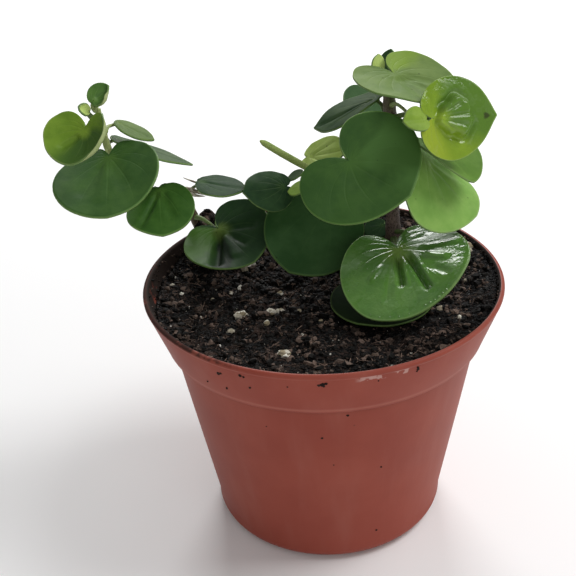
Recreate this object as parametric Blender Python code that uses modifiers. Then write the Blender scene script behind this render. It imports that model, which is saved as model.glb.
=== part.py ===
"""A potted plant with round, heart-shaped leaves on thin stalks, in a 12 cm terracotta-coloured
plastic pot. Three stems stand in the soil: an upright one on the right, a short one in the middle
that carries a flower spike, and a long one that leans out over the rim on the left.

Lengths below are in millimetres and angles in degrees. The origin is the middle of the pot's
underside, +Z is up, and -Y is the side that the large front leaf faces.
"""
import math
import random

import bmesh
import bpy
from mathutils import Matrix, Vector, noise

MM = 0.001
ROOM = 0.3                    # clearance between neighbouring pieces

# Pot
POT_HEIGHT = 89.0
RIM_RADIUS = 60.0
LIP_WIDTH = 1.9
LIP_DEPTH = 1.9
COLLAR_TOP_RADIUS = 59.6
COLLAR_FOOT_RADIUS = 54.3
COLLAR_FOOT_Z = 71.5
BODY_TOP_RADIUS = 51.8
BODY_FOOT_RADIUS = 40.2
BODY_FOOT_Z = 5.0
BASE_RADIUS = 35.5            # the flat underside, inside the rounded corner
WALL = 1.2
FLOOR = 1.8
POT_SIDES = 48
DRAIN_HOLES = 6
DRAIN_HOLE_RADIUS = 4.5
DRAIN_RING_RADIUS = 25.0

# Soil
SOIL_LEVEL = 80.0
SOIL_RINGS = 11
SOIL_CROWN = 1.2              # how much the middle stands above the edge
SOIL_LUMPS = 0.9              # height of the uneven crumbs
SOIL_BANK = 5.0               # how much higher the soil stands against the pot's wall
SOIL_BANK_LEAN = 0.45         # the bank is higher by this share on one side and lower on the other
SOIL_BANK_SIDE = 20.0         # the direction of its highest side
HEAP_PLACE = (-41.0, 36.0)    # soil heaped up round the left stem
HEAP_HEIGHT = 14.0
HEAP_SPREAD = 6.0
HOLLOW_PLACE = (19.0, -8.0)   # where a leaf lies on the soil
HOLLOW_DEPTH = 1.0
HOLLOW_SPREAD = 14.0
HOLE_DEEPER = 0.1             # a stem's hole goes on past its foot by this share of a span
GRAIN_SINK = 0.35             # share of a grain's radius that is under the surface

# Leaves
NOTCH_WIDTH = 0.42            # radians, half width of the gap between the two lobes
NOTCH_FLOOR = 0.06            # share of the outline left behind the stalk
TIP_LENGTH = 0.10
TIP_WIDTH = 0.22              # radians
SPOKE_CROWDING = 0.35         # spokes stand closer together towards the notch
STALK_REACH = 0.38            # how far the stalk keeps its first and last direction
STALK_POINTS = 6

POT_RED = (0.235, 0.070, 0.050)
SOIL_BLACK = (0.018, 0.013, 0.010)
STEM_BROWN = (0.110, 0.070, 0.045)
SPIKE_GREEN = (0.330, 0.390, 0.110)
DARK_GREEN = (0.035, 0.085, 0.022)
MID_GREEN = (0.060, 0.150, 0.030)
PALE_GREEN = (0.150, 0.260, 0.065)
YOUNG_GREEN = (0.260, 0.390, 0.060)

# Each stem is a list of (x, y, z, radius), from its foot in the soil to its top.
STEMS = {
    "stem_right": [(26, 21, 60, 2.7), (25.6, 21, 78, 2.7), (25, 20, 96, 2.5), (24.4, 20, 121, 2.3),
                   (23.7, 20.5, 140, 2.1), (23.3, 22, 146, 1.6), (23, 23, 148.5, 1.0)],
    "stem_centre": [(0, 32, 60, 1.9), (0.3, 32, 80, 1.9), (0.6, 31.5, 94, 1.8), (0.3, 31, 104, 1.6),
                    (-1.2, 30, 111, 1.3), (-2, 28.5, 116, 0.9)],
    "stem_left": [
        (-36, 26, 60, 1.8), (-39, 30.5, 80, 1.8), (-44.5, 34.5, 92.5, 1.7), (-46.5, 31, 103, 1.5),
        (-45.7, 24.5, 110.7, 1.35), (-48.9, 18, 112.9, 1.2), (-52.7, 12.5, 115.8, 1.15),
        (-57, 9.5, 119, 1.15), (-62, 8, 125, 1.1), (-66.5, 5.2, 133, 1.0), (-67.5, 2.2, 142, 0.9),
        (-67.6, 0.3, 148, 0.8), (-67.4, -0.2, 150.2, 0.6)],
}

# Pale grains in the soil: (x, y, radius)
GRAINS = [(-27, 19, 2.6), (-28, 6, 1.6), (-15, 1, 1.5), (-27, -13, 2.7), (-16, -11, 2.5), (-19, -18, 1.8),
          (-29, -26, 1.5), (-13, -39, 2.4), (-48, 9, 1.3), (-39, -10, 1.5), (-43, -20, 1.4), (49, 20, 2.0),
          (38, -14, 2.2), (46, -20, 1.5), (26, -31, 1.6), (50, 4, 1.5), (41, -23, 1.4)]


class Leaf:
    """One leaf: where its blade joins the stalk, which way it points, and how it is curved.

    at: the joint of stalk and blade. heading, pitch: the direction from there to the tip.
    roll: turn about that direction. radius: half the blade's width. lobes: how far the joint lies
    from the middle of the round blade, as a share of the radius; small values give long lobes.
    stem, height: the stem that carries the leaf and the height at which the stalk leaves it.
    """

    def __init__(self, name, at, heading, pitch, roll, radius, lobes, stem, height, width=1.0, droop=0.0,
                 cup=0.0, twist=0.0, skew=0.0, thick=0.9, stalk=0.8, bow=(0, 0, 0), colour=MID_GREEN,
                 spokes=22, rings=3, lift=0.5, tip=TIP_LENGTH):
        self.name = name
        self.at = Vector(at)
        self.turn = Matrix.Rotation(math.radians(heading), 3, "Z")
        self.turn = self.turn @ Matrix.Rotation(math.radians(-pitch), 3, "Y")
        self.turn = self.turn @ Matrix.Rotation(math.radians(roll), 3, "X")
        self.radius = radius
        self.lobes = lobes
        self.stem = stem
        self.height = height
        self.width = width
        self.droop = droop
        self.cup = cup
        self.twist = twist
        self.skew = skew
        self.thick = thick
        self.stalk = stalk
        self.bow = Vector(bow)
        self.colour = colour
        self.spokes = spokes
        self.rings = rings
        self.lift = lift
        self.tip = tip

    def outline(self, angle):
        """Distance from the stalk's joint to the blade's edge, angle 0 being the tip."""
        a = abs(angle)
        reach = self.lobes * math.cos(a) + math.sqrt(1 - (self.lobes * math.sin(a)) ** 2)
        notch = (1 - NOTCH_FLOOR) * math.exp(-((math.pi - a) / NOTCH_WIDTH) ** 2)
        tip = self.tip * math.exp(-(a / TIP_WIDTH) ** 2)
        return self.radius * reach * (1 - notch) * (1 + tip)

    def surface(self, angle, share):
        """A point of the blade's middle layer in its own frame, share 0 to 1 from joint to edge."""
        reach = self.outline(angle) * share
        side = reach * math.sin(angle) * self.width
        along = reach * math.cos(angle) + self.skew * side
        length = self.radius * (1 + self.lobes)
        bend = self.droop * along * abs(along) / length
        if along < 0:
            bend = 0.3 * self.droop * along * along / length
        rise = bend + self.cup * side * side / length + self.twist * along * side / length
        return Vector((along, side, rise))


LEAVES = [
    Leaf("leaf_front_large", (9.5, -8, 133), -10, -34, 52, 15.8, 0.25, "stem_right", 117, width=1.3,
         droop=0.24, cup=0.06, twist=-0.24, skew=0.15, colour=DARK_GREEN, thick=1.0, stalk=1.0, tip=0.06),
    Leaf("leaf_low_right", (25, 0, 98), -80, -11, 11, 21.9, 0.46, "stem_right", 93, width=0.97,
         cup=0.12, twist=0.35, skew=-0.02, thick=1.0, stalk=1.0, tip=0.0),
    Leaf("leaf_centre_low", (3.5, 22, 107), -127, -37, -23, 17.1, 0.72, "stem_centre", 100, droop=0.05,
         cup=-0.07, twist=-0.03, colour=DARK_GREEN, thick=1.0, tip=0.04),
    Leaf("leaf_left_cupped", (-36, 24, 96), -53, -11, 25, 15.4, 0.40, "stem_left", 97, width=1.02,
         cup=0.30, twist=-0.12, colour=DARK_GREEN, tip=0.03),
    Leaf("leaf_centre_left", (-12, 19, 113.5), -162, -1, -28, 8.4, 0.60, "stem_centre", 112, width=1.02,
         droop=0.06, cup=-0.23, twist=-0.07, colour=DARK_GREEN, spokes=18, rings=3, thick=0.8, stalk=0.6),
    Leaf("leaf_left_node", (-41, 20.7, 115.8), -14, -9, 0, 8.0, 0.90, "stem_left", 111.0, droop=0.03,
         cup=-0.03, twist=0.04, colour=DARK_GREEN, spokes=18, rings=3, thick=0.8, stalk=0.6),
    Leaf("leaf_left_third", (-52.5, 6, 120), -82, -20, 18, 11.0, 0.85, "stem_left", 117, twist=-0.35,
         spokes=18, rings=3, thick=0.8, stalk=0.7, tip=0.05),
    Leaf("leaf_left_large", (-66, -1, 134.5), -85, -20, 13, 16.4, 0.61, "stem_left", 130.3, width=1.03,
         cup=0.19, twist=-0.15, colour=DARK_GREEN, thick=1.0, lift=0.0, tip=0.02),
    Leaf("leaf_left_yellow", (-70.5, -9, 146.5), -103, -54, 11, 9.6, 0.25, "stem_left", 143, width=1.2,
         droop=0.42, cup=0.45, twist=0.04, skew=0.04, colour=YOUNG_GREEN, thick=0.8, stalk=0.6, tip=0.0),
    Leaf("leaf_left_top", (-68.5, -1, 153), 32, 33, 39, 4.0, 0.70, "stem_left", 150, droop=-0.06, cup=0.08,
         colour=PALE_GREEN, spokes=16, rings=2, thick=0.7, stalk=0.45),
    Leaf("leaf_left_bud", (-70.5, -1.5, 150), 185, 15, 10, 2.2, 0.70, "stem_left", 147, cup=0.3,
         colour=YOUNG_GREEN, spokes=12, rings=2, thick=0.7, stalk=0.4),
    Leaf("leaf_left_narrow_upper", (-64.5, 10, 142), -6, -27, -8, 6.4, 0.90, "stem_left", 141, cup=-0.03,
         twist=0.02, spokes=16, rings=3, thick=0.8, stalk=0.5),
    Leaf("leaf_left_narrow_lower", (-66.5, 14, 135), 0, -23, -16, 13.0, 0.88, "stem_left", 136, thick=0.9,
         stalk=0.7, spokes=18, rings=3),
    Leaf("leaf_top", (25.5, 20, 151), -47, -15, 0, 17.7, 0.29, "stem_right", 147, droop=0.05, cup=0.08,
         twist=-0.20, skew=-0.02, colour=PALE_GREEN, thick=1.0, stalk=0.9, tip=0.06),
    Leaf("leaf_right_ribbed", (35.5, -4, 144.5), 24, -8, 64, 12.5, 0.55, "stem_right", 137, width=1.04,
         droop=0.07, cup=-0.18, twist=0.02, skew=0.07, bow=(4, 0, 1), colour=YOUNG_GREEN, tip=0.13),
    Leaf("leaf_right_young", (32.5, -6, 145), -144, 16, -21, 4.2, 0.70, "stem_right", 141,
         bow=(-1, 0, 1), droop=-0.2, cup=0.3, twist=-0.2, colour=YOUNG_GREEN, spokes=16, rings=3,
         thick=0.7, stalk=0.5),
    Leaf("leaf_right_hanging", (34, 9, 126.5), -17, -43, -2, 18.1, 0.40, "stem_right", 119, width=1.05,
         droop=-0.07, cup=-0.45, twist=0.35, skew=-0.04, colour=PALE_GREEN, tip=0.03),
    Leaf("leaf_right_rear", (36, 12, 130.5), -45, -13, -9, 12.5, 0.59, "stem_right", 131, bow=(0, 0, 2),
         width=1.02, droop=-0.19, cup=0.36, twist=-0.09, colour=PALE_GREEN, tip=0.03),
    Leaf("leaf_rear_upper", (21, 50, 131), -148, 15, -32, 8.1, 0.62, "stem_right", 130, colour=DARK_GREEN,
         spokes=18, rings=3, thick=0.8, stalk=0.7),
    Leaf("leaf_rear_narrow", (19.5, 29, 140), 169, -28, 5, 13.6, 0.61, "stem_right", 137, width=0.81,
         cup=0.08, twist=-0.34, colour=DARK_GREEN),
    Leaf("leaf_centre_rolled", (-3.3, 41.5, 115), -34, 20, 37, 9.5, 0.66, "stem_centre", 104, width=0.75,
         cup=0.04, twist=0.13, colour=YOUNG_GREEN, spokes=18, rings=3, thick=0.8, stalk=0.55),
    Leaf("leaf_centre_small_dark", (-6, 30, 114), 179, -27, -4, 3.0, 0.83, "stem_centre", 106, cup=0.1,
         colour=DARK_GREEN, spokes=14, rings=2, thick=0.7, stalk=0.45),
    Leaf("leaf_centre_small_young", (-5.5, 13, 116), 164, -25, -20, 3.4, 0.61, "stem_centre", 113.5,
         colour=YOUNG_GREEN, spokes=14, rings=2, thick=0.7, stalk=0.45),
    Leaf("leaf_top_sheath", (20.5, 28, 149.5), 97, 72, 36, 3.0, 0.78, "stem_right", 145, droop=0.08,
         twist=0.05, colour=YOUNG_GREEN, spokes=14, rings=2, thick=0.7, stalk=0.45),
    Leaf("leaf_top_rear", (23, 34, 148), 46, 62, -10, 4.1, 0.64, "stem_right", 143, colour=DARK_GREEN,
         spokes=14, rings=2, thick=0.7, stalk=0.5),
    Leaf("leaf_rear_low", (22, 26, 94.5), -150, -14, -25, 4.4, 0.64, "stem_right", 91, colour=DARK_GREEN,
         spokes=14, rings=2, thick=0.8, stalk=0.5),
    Leaf("leaf_on_soil", (24, 2, 83), -120, -1, 0, 17, 0.55, "stem_right", 96, colour=DARK_GREEN,
         bow=(9, 2, 3), lift=0.1, stalk=0.7, tip=0.02),
]

# The flower spike leaves the top of the centre stem: (x, y, z, radius)
SPIKE = [(-2.1, 27, 116.8, 0.8), (-1.0, 23, 117, 0.9), (-2.4, 19.5, 119, 1.0), (-6.4, 18, 122.2, 1.2),
         (-12.5, 18, 126.2, 1.2), (-17.4, 18, 129.6, 1.1), (-18.7, 18, 130.5, 0.7)]


def clear_scene():
    for old in list(bpy.data.objects):
        bpy.data.objects.remove(old, do_unlink=True)


def new_collection(name):
    collection = bpy.data.collections.new(name)
    bpy.context.scene.collection.children.link(collection)
    return collection


def make_material(name, colour, roughness):
    material = bpy.data.materials.new(name)
    material.use_nodes = True
    shader = material.node_tree.nodes["Principled BSDF"]
    shader.inputs["Base Color"].default_value = (*colour, 1.0)
    shader.inputs["Roughness"].default_value = roughness
    shader.inputs["Metallic"].default_value = 0.0
    return material


def finish(part, material):
    part.data.materials.clear()
    part.data.materials.append(material)
    if part.type == "MESH":
        part.data.shade_smooth()
        part.data.set_sharp_from_angle(angle=math.radians(40))


def mesh_object(name, mesh, collection):
    part = bpy.data.objects.new(name, mesh)
    collection.objects.link(part)
    return part


def hide_cutter(part):
    part.hide_render = True
    part.display_type = "WIRE"


def smooth_route(points, pieces=4):
    """Points along a smooth curve through the given ones (Catmull-Rom), any number of values each."""
    first = [2 * a - b for a, b in zip(points[0], points[1])]
    last = [2 * a - b for a, b in zip(points[-1], points[-2])]
    padded = [first, *points, last]
    route = []
    for k in range(1, len(padded) - 2):
        before, start, end, after = padded[k - 1:k + 3]
        for step in range(pieces):
            t = step / pieces
            route.append(tuple(
                0.5 * (2 * s + (e - b) * t + (2 * b - 5 * s + 4 * e - a) * t * t
                       + (3 * s - b - 3 * e + a) * t ** 3)
                for b, s, e, a in zip(before, start, end, after)))
    route.append(tuple(points[-1]))
    return route


def tube(name, route, collection, sides_level=2):
    """A closed tube mesh along a route of (x, y, z, radius)."""
    curve = bpy.data.curves.new(name, "CURVE")
    curve.dimensions = "3D"
    curve.bevel_depth = MM
    curve.bevel_resolution = sides_level
    curve.use_fill_caps = True
    spline = curve.splines.new("POLY")
    spline.points.add(len(route) - 1)
    for point, (x, y, z, radius) in zip(spline.points, route):
        point.co = (x * MM, y * MM, z * MM, 1.0)
        point.radius = radius
    guide = mesh_object(name + "_guide", curve, collection)
    shape = guide.evaluated_get(bpy.context.evaluated_depsgraph_get())
    mesh = bpy.data.meshes.new_from_object(shape)
    place = guide.matrix_world.copy()
    bpy.data.objects.remove(guide, do_unlink=True)
    bm = bmesh.new()
    bm.from_mesh(mesh)
    bmesh.ops.remove_doubles(bm, verts=bm.verts, dist=0.00001)
    bm.to_mesh(mesh)
    bm.free()
    part = mesh_object(name, mesh, collection)
    part.matrix_world = place
    return part


def stem_point(name, height):
    """Centre, direction and radius of a stem at a height."""
    route = smooth_route(STEMS[name], 8)
    below = max(k for k in range(len(route) - 1) if route[k][2] <= height)
    low, high = route[below], route[below + 1]
    t = min(1.0, (height - low[2]) / (high[2] - low[2]))
    x, y, z, radius = [a + (b - a) * t for a, b in zip(low, high)]
    along = Vector(high[:3]) - Vector(low[:3])
    return Vector((x, y, z)), along.normalized(), radius


def stalk_route(leaf):
    """The stalk's curve, from just off its stem to just under the blade."""
    centre, along, radius = stem_point(leaf.stem, leaf.height)
    tip_way = leaf.turn @ Vector((1, 0, 0))
    face = leaf.turn @ Vector((0, 0, 1))
    joint = leaf.at - face * (leaf.thick / 2 + 0.15)
    out = joint + leaf.bow - centre
    out = (out - along * out.dot(along)).normalized()
    start = centre + out * (radius + ROOM + 0.1)
    leave = (out + Vector((0, 0, leaf.lift))).normalized()
    arrive = (tip_way * 0.6 + face * 0.8).normalized()
    reach = (joint - start).length * STALK_REACH
    first = start + leave * reach + leaf.bow
    second = joint - arrive * reach + leaf.bow * 0.5
    route = []
    for k in range(STALK_POINTS + 1):
        t = k / STALK_POINTS
        u = 1 - t
        point = start * u ** 3 + first * 3 * u * u * t + second * 3 * u * t * t + joint * t ** 3
        route.append((*point, leaf.stalk * (1 - 0.25 * t)))
    end = joint + tip_way * leaf.radius * 0.14
    route.append((*end, leaf.stalk * 0.35))
    return route


def blade_mesh(leaf):
    """The blade's middle layer: a grid whose rows become rings and whose columns become spokes."""
    bm = bmesh.new()
    bmesh.ops.create_grid(bm, x_segments=leaf.rings, y_segments=leaf.spokes, size=1.0)
    for vert in bm.verts:
        share = (vert.co.x + 1) / 2
        turn = vert.co.y
        angle = math.pi * turn + SPOKE_CROWDING * math.sin(math.pi * turn)
        vert.co = leaf.surface(angle, share) * MM
    bmesh.ops.remove_doubles(bm, verts=bm.verts, dist=0.00001)
    bmesh.ops.triangulate(bm, faces=bm.faces)
    bmesh.ops.recalc_face_normals(bm, faces=bm.faces)
    if sum((face.normal for face in bm.faces), Vector()).z < 0:
        bmesh.ops.reverse_faces(bm, faces=bm.faces)
    mesh = bpy.data.meshes.new(leaf.name)
    bm.to_mesh(mesh)
    bm.free()
    return mesh


def build_leaf(leaf, plant, cutters):
    blade = mesh_object(leaf.name, blade_mesh(leaf), plant)
    blade.matrix_world = Matrix.Translation(leaf.at * MM) @ leaf.turn.to_4x4()
    shell = blade.modifiers.new("thickness", "SOLIDIFY")
    shell.thickness = leaf.thick * MM
    shell.offset = 0.0
    stalk = tube(leaf.name + "_stalk", stalk_route(leaf), cutters, sides_level=1)
    hide_cutter(stalk)
    join = blade.modifiers.new("stalk", "BOOLEAN")
    join.operation = "UNION"
    join.object = stalk
    finish(blade, make_material(leaf.name, leaf.colour, 0.4))


def wall_inside(z):
    """The pot's inner radius at a height."""
    if z >= COLLAR_FOOT_Z + WALL:
        low_z = COLLAR_FOOT_Z + WALL
        t = (z - low_z) / (POT_HEIGHT - LIP_DEPTH - low_z)
        low_radius = COLLAR_FOOT_RADIUS - WALL
        return low_radius + (RIM_RADIUS - LIP_WIDTH - low_radius) * t
    t = (z - BODY_FOOT_Z) / (COLLAR_FOOT_Z - BODY_FOOT_Z)
    return BODY_FOOT_RADIUS - WALL + (BODY_TOP_RADIUS - BODY_FOOT_RADIUS) * t


def pot_profile():
    """The pot's section, from the middle of its floor up the inside, over the lip and down."""
    step_z = COLLAR_FOOT_Z + WALL
    lip_z = POT_HEIGHT - LIP_DEPTH
    return [
        (0, FLOOR),
        (BASE_RADIUS - 1.0, FLOOR),
        (BODY_FOOT_RADIUS - WALL, BODY_FOOT_Z),
        (wall_inside(COLLAR_FOOT_Z), step_z - 0.4),
        (wall_inside(step_z), step_z),
        (RIM_RADIUS - LIP_WIDTH, lip_z),
        (RIM_RADIUS - LIP_WIDTH, POT_HEIGHT - 0.5),
        (RIM_RADIUS - LIP_WIDTH + 0.5, POT_HEIGHT),
        (RIM_RADIUS - 0.5, POT_HEIGHT),
        (RIM_RADIUS, POT_HEIGHT - 0.5),
        (RIM_RADIUS, lip_z),
        (COLLAR_TOP_RADIUS, lip_z - 0.2),
        (COLLAR_FOOT_RADIUS + 0.2, COLLAR_FOOT_Z + 0.6),
        (COLLAR_FOOT_RADIUS - 0.3, COLLAR_FOOT_Z),
        (BODY_TOP_RADIUS, COLLAR_FOOT_Z - 0.4),
        (BODY_FOOT_RADIUS, BODY_FOOT_Z),
        (BODY_FOOT_RADIUS - 1.3, 1.7),
        (BASE_RADIUS + 1.2, 0.3),
        (BASE_RADIUS, 0),
        (0, 0),
    ]


def build_pot(plant, cutters):
    bm = bmesh.new()
    corners = [bm.verts.new((radius * MM, 0, z * MM)) for radius, z in pot_profile()]
    for low, high in zip(corners, corners[1:]):
        bm.edges.new((low, high))
    mesh = bpy.data.meshes.new("pot")
    bm.to_mesh(mesh)
    bm.free()
    pot = mesh_object("pot", mesh, plant)
    turned = pot.modifiers.new("turned", "SCREW")
    turned.axis = "Z"
    turned.steps = POT_SIDES
    turned.render_steps = POT_SIDES
    turned.use_merge_vertices = True
    turned.merge_threshold = 0.0001
    holes = bpy.data.collections.new("drain_holes")
    cutters.children.link(holes)
    for k in range(DRAIN_HOLES):
        angle = 2 * math.pi * (k + 0.5) / DRAIN_HOLES
        place = (math.cos(angle) * DRAIN_RING_RADIUS * MM, math.sin(angle) * DRAIN_RING_RADIUS * MM, 0)
        bm = bmesh.new()
        bmesh.ops.create_cone(bm, cap_ends=True, segments=16, radius1=DRAIN_HOLE_RADIUS * MM,
                              radius2=DRAIN_HOLE_RADIUS * MM, depth=6 * MM)
        mesh = bpy.data.meshes.new(f"drain_hole_{k}")
        bm.to_mesh(mesh)
        bm.free()
        hole = mesh_object(mesh.name, mesh, holes)
        hole.location = place
        hide_cutter(hole)
    cut = pot.modifiers.new("drain", "BOOLEAN")
    cut.operation = "DIFFERENCE"
    cut.operand_type = "COLLECTION"
    cut.collection = holes
    finish(pot, make_material("pot", POT_RED, 0.5))


def bump(x, y, place, spread):
    away = (x - place[0]) ** 2 + (y - place[1]) ** 2
    return math.exp(-away / (2 * spread * spread))


def soil_bank(angle):
    """How much the soil rises at the wall, in a direction from the pot's middle."""
    return SOIL_BANK * (1 + SOIL_BANK_LEAN * math.cos(angle - math.radians(SOIL_BANK_SIDE)))


def soil_height(x, y):
    """Height of the soil's surface, in millimetres above the ground."""
    out = min(1.0, math.hypot(x, y) / wall_inside(SOIL_LEVEL))
    lumps = noise.noise(Vector((x * 0.16, y * 0.16, 3.7)))
    lumps += 0.6 * noise.noise(Vector((x * 0.4, y * 0.4, 1.2)))
    height = SOIL_LEVEL + SOIL_CROWN * (1 - out * out) + SOIL_LUMPS * lumps
    height += soil_bank(math.atan2(y, x)) * out ** 4
    height += HEAP_HEIGHT * bump(x, y, HEAP_PLACE, HEAP_SPREAD)
    return height - HOLLOW_DEPTH * bump(x, y, HOLLOW_PLACE, HOLLOW_SPREAD)


def soil_mesh():
    """A round grid as the surface, its edge drawn down along the inside of the pot."""
    bm = bmesh.new()
    bmesh.ops.create_grid(bm, x_segments=SOIL_RINGS, y_segments=POT_SIDES, size=1.0)
    for vert in bm.verts:
        angle = math.pi * vert.co.y
        edge_radius = wall_inside(SOIL_LEVEL + soil_bank(angle) - 1.0) - ROOM
        radius = edge_radius * (vert.co.x + 1) / 2
        x = radius * math.cos(angle)
        y = radius * math.sin(angle)
        vert.co = Vector((x, y, soil_height(x, y))) * MM
    bmesh.ops.remove_doubles(bm, verts=bm.verts, dist=0.00001)
    step_z = COLLAR_FOOT_Z + WALL
    rings = [
        (wall_inside(step_z) - 1.3 * ROOM, step_z + 1.3 * ROOM),
        (wall_inside(COLLAR_FOOT_Z) - ROOM, step_z - 0.2),
        (BODY_FOOT_RADIUS - WALL - 1.3 * ROOM, BODY_FOOT_Z + ROOM),
        (BASE_RADIUS - 1.3, FLOOR + ROOM),
    ]
    border = [edge for edge in bm.edges if edge.is_boundary]
    for radius, z in rings:
        drawn = bmesh.ops.extrude_edge_only(bm, edges=border)["geom"]
        for vert in [item for item in drawn if isinstance(item, bmesh.types.BMVert)]:
            flat = Vector((vert.co.x, vert.co.y, 0)).normalized()
            vert.co = flat * radius * MM + Vector((0, 0, z * MM))
        border = [item for item in drawn if isinstance(item, bmesh.types.BMEdge)]
    bmesh.ops.contextual_create(bm, geom=border)
    bmesh.ops.triangulate(bm, faces=bm.faces)
    bmesh.ops.recalc_face_normals(bm, faces=bm.faces)
    mesh = bpy.data.meshes.new("soil")
    bm.to_mesh(mesh)
    bm.free()
    return mesh


def build_soil(plant, cutters):
    soil = mesh_object("soil", soil_mesh(), plant)
    grains = bpy.data.collections.new("soil_grains")
    cutters.children.link(grains)
    draw = random.Random(5)
    for k, (x, y, radius) in enumerate(GRAINS):
        bm = bmesh.new()
        bmesh.ops.create_icosphere(bm, subdivisions=1, radius=radius * MM)
        mesh = bpy.data.meshes.new(f"grain_{k}")
        bm.to_mesh(mesh)
        bm.free()
        grain = mesh_object(mesh.name, mesh, grains)
        grain.location = (x * MM, y * MM, (soil_height(x, y) + radius * (0.5 - GRAIN_SINK)) * MM)
        grain.rotation_euler = [draw.uniform(0, math.pi) for _ in range(3)]
        grain.scale = (1.15, 0.9, 0.75)
        hide_cutter(grain)
    join = soil.modifiers.new("grains", "BOOLEAN")
    join.operation = "UNION"
    join.operand_type = "COLLECTION"
    join.collection = grains
    for name, points in STEMS.items():
        route = [(x, y, z, radius + ROOM) for x, y, z, radius in smooth_route(points, 2)
                 if z < SOIL_LEVEL + 22]
        foot = [2 * low - high for low, high in zip(route[0], route[1])]
        route.insert(0, [low + (end - low) * HOLE_DEEPER for low, end in zip(route[0], foot)])
        hole = tube(name + "_hole", route, cutters)
        hide_cutter(hole)
        cut = soil.modifiers.new(name, "BOOLEAN")
        cut.operation = "DIFFERENCE"
        cut.object = hole
    finish(soil, make_material("soil", SOIL_BLACK, 0.95))


def build_stems(plant):
    for name, points in STEMS.items():
        stem = tube(name, smooth_route(points, 2), plant)
        finish(stem, make_material(name, STEM_BROWN, 0.7))


def build_spike(plant):
    spike = tube("flower_spike", smooth_route(SPIKE, 2), plant)
    finish(spike, make_material("flower_spike", SPIKE_GREEN, 0.6))


def main():
    clear_scene()
    plant = new_collection("potted_plant")
    cutters = new_collection("cutters")
    build_pot(plant, cutters)
    build_soil(plant, cutters)
    build_stems(plant)
    build_spike(plant)
    for leaf in LEAVES:
        build_leaf(leaf, plant, cutters)


main()
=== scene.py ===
# %% [markdown]
# # A potted plant with round, heart-shaped leaves
# The plant stands in a small terracotta-coloured plastic pot. The solids of the pot, the soil, the
# stems and the leaves are already measured, and this script dresses them: each gets a finer mesh in
# the same place, and a finish that is made from shader nodes alone.

# %% Load the measured model
import math
import random

import bpy
import numpy as np
from mathutils import Matrix, Vector, noise


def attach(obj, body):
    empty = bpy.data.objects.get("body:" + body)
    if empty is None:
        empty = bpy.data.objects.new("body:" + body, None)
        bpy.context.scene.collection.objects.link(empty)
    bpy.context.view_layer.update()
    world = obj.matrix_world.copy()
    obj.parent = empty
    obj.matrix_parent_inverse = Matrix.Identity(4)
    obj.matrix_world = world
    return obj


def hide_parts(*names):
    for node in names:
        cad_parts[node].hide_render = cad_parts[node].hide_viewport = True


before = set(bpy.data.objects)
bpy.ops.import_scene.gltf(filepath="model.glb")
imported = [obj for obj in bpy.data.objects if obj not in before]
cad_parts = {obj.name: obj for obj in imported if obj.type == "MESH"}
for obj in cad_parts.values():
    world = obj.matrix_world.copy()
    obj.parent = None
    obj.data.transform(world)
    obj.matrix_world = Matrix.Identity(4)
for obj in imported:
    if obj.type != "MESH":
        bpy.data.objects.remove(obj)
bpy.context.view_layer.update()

MM = 0.001
print("nodes:", len(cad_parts))

# %% [markdown]
# ## Working one object at a time
# Blender's operators act on whatever is selected, and the loaded solids come in selected. So every
# step below starts by clearing the selection and picking the one object it is meant for.

# %% Selecting, applying, joining
def select_only(*parts):
    """Leaves edit mode and selects these objects, the first one active."""
    if bpy.context.object and bpy.context.object.mode != "OBJECT":
        bpy.ops.object.mode_set(mode="OBJECT")
    bpy.ops.object.select_all(action="DESELECT")
    for part in parts:
        part.select_set(True)
    if parts:
        bpy.context.view_layer.objects.active = parts[0]


def rename(part, name):
    part.name = name
    part.data.name = name
    return part


def apply_modifier(part, kind, **settings):
    """Adds a modifier, gives it its settings and applies it."""
    select_only(part)
    modifier = part.modifiers.new(kind.lower(), kind)
    for key, value in settings.items():
        setattr(modifier, key, value)
    bpy.ops.object.modifier_apply(modifier=modifier.name)


def apply_place(part):
    select_only(part)
    bpy.ops.object.transform_apply(location=True, rotation=True, scale=True)


def join(first, *others):
    select_only(first, *others)
    bpy.ops.object.join()
    return first


def edit(part, action="SELECT"):
    """Goes into edit mode on one object, with all of it selected or nothing."""
    select_only(part)
    bpy.ops.object.mode_set(mode="EDIT")
    bpy.ops.mesh.select_all(action=action)


def object_mode():
    bpy.ops.object.mode_set(mode="OBJECT")


def points_of(part):
    """The vertices of a mesh object as an array."""
    flat = np.empty(len(part.data.vertices) * 3)
    part.data.vertices.foreach_get("co", flat)
    return flat.reshape(-1, 3)


def set_points(part, points):
    part.data.vertices.foreach_set("co", np.asarray(points, float).ravel())
    part.data.update()


def finish_piece(part, node, smooth=True):
    """Finishes a piece: shades it smooth if asked, puts it on the root body and, where it replaces a solid,
    hides that solid.
    """
    if smooth:
        part.data.shade_smooth()
    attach(part, "root")
    if node:
        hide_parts(node)


# %% [markdown]
# ## Shader maths as Python
# A finish such as veins on a leaf is a formula. Wiring it by hand takes dozens of Math nodes, so a
# small class wraps a socket and adds those nodes when Python's own operators are used on it.

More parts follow.
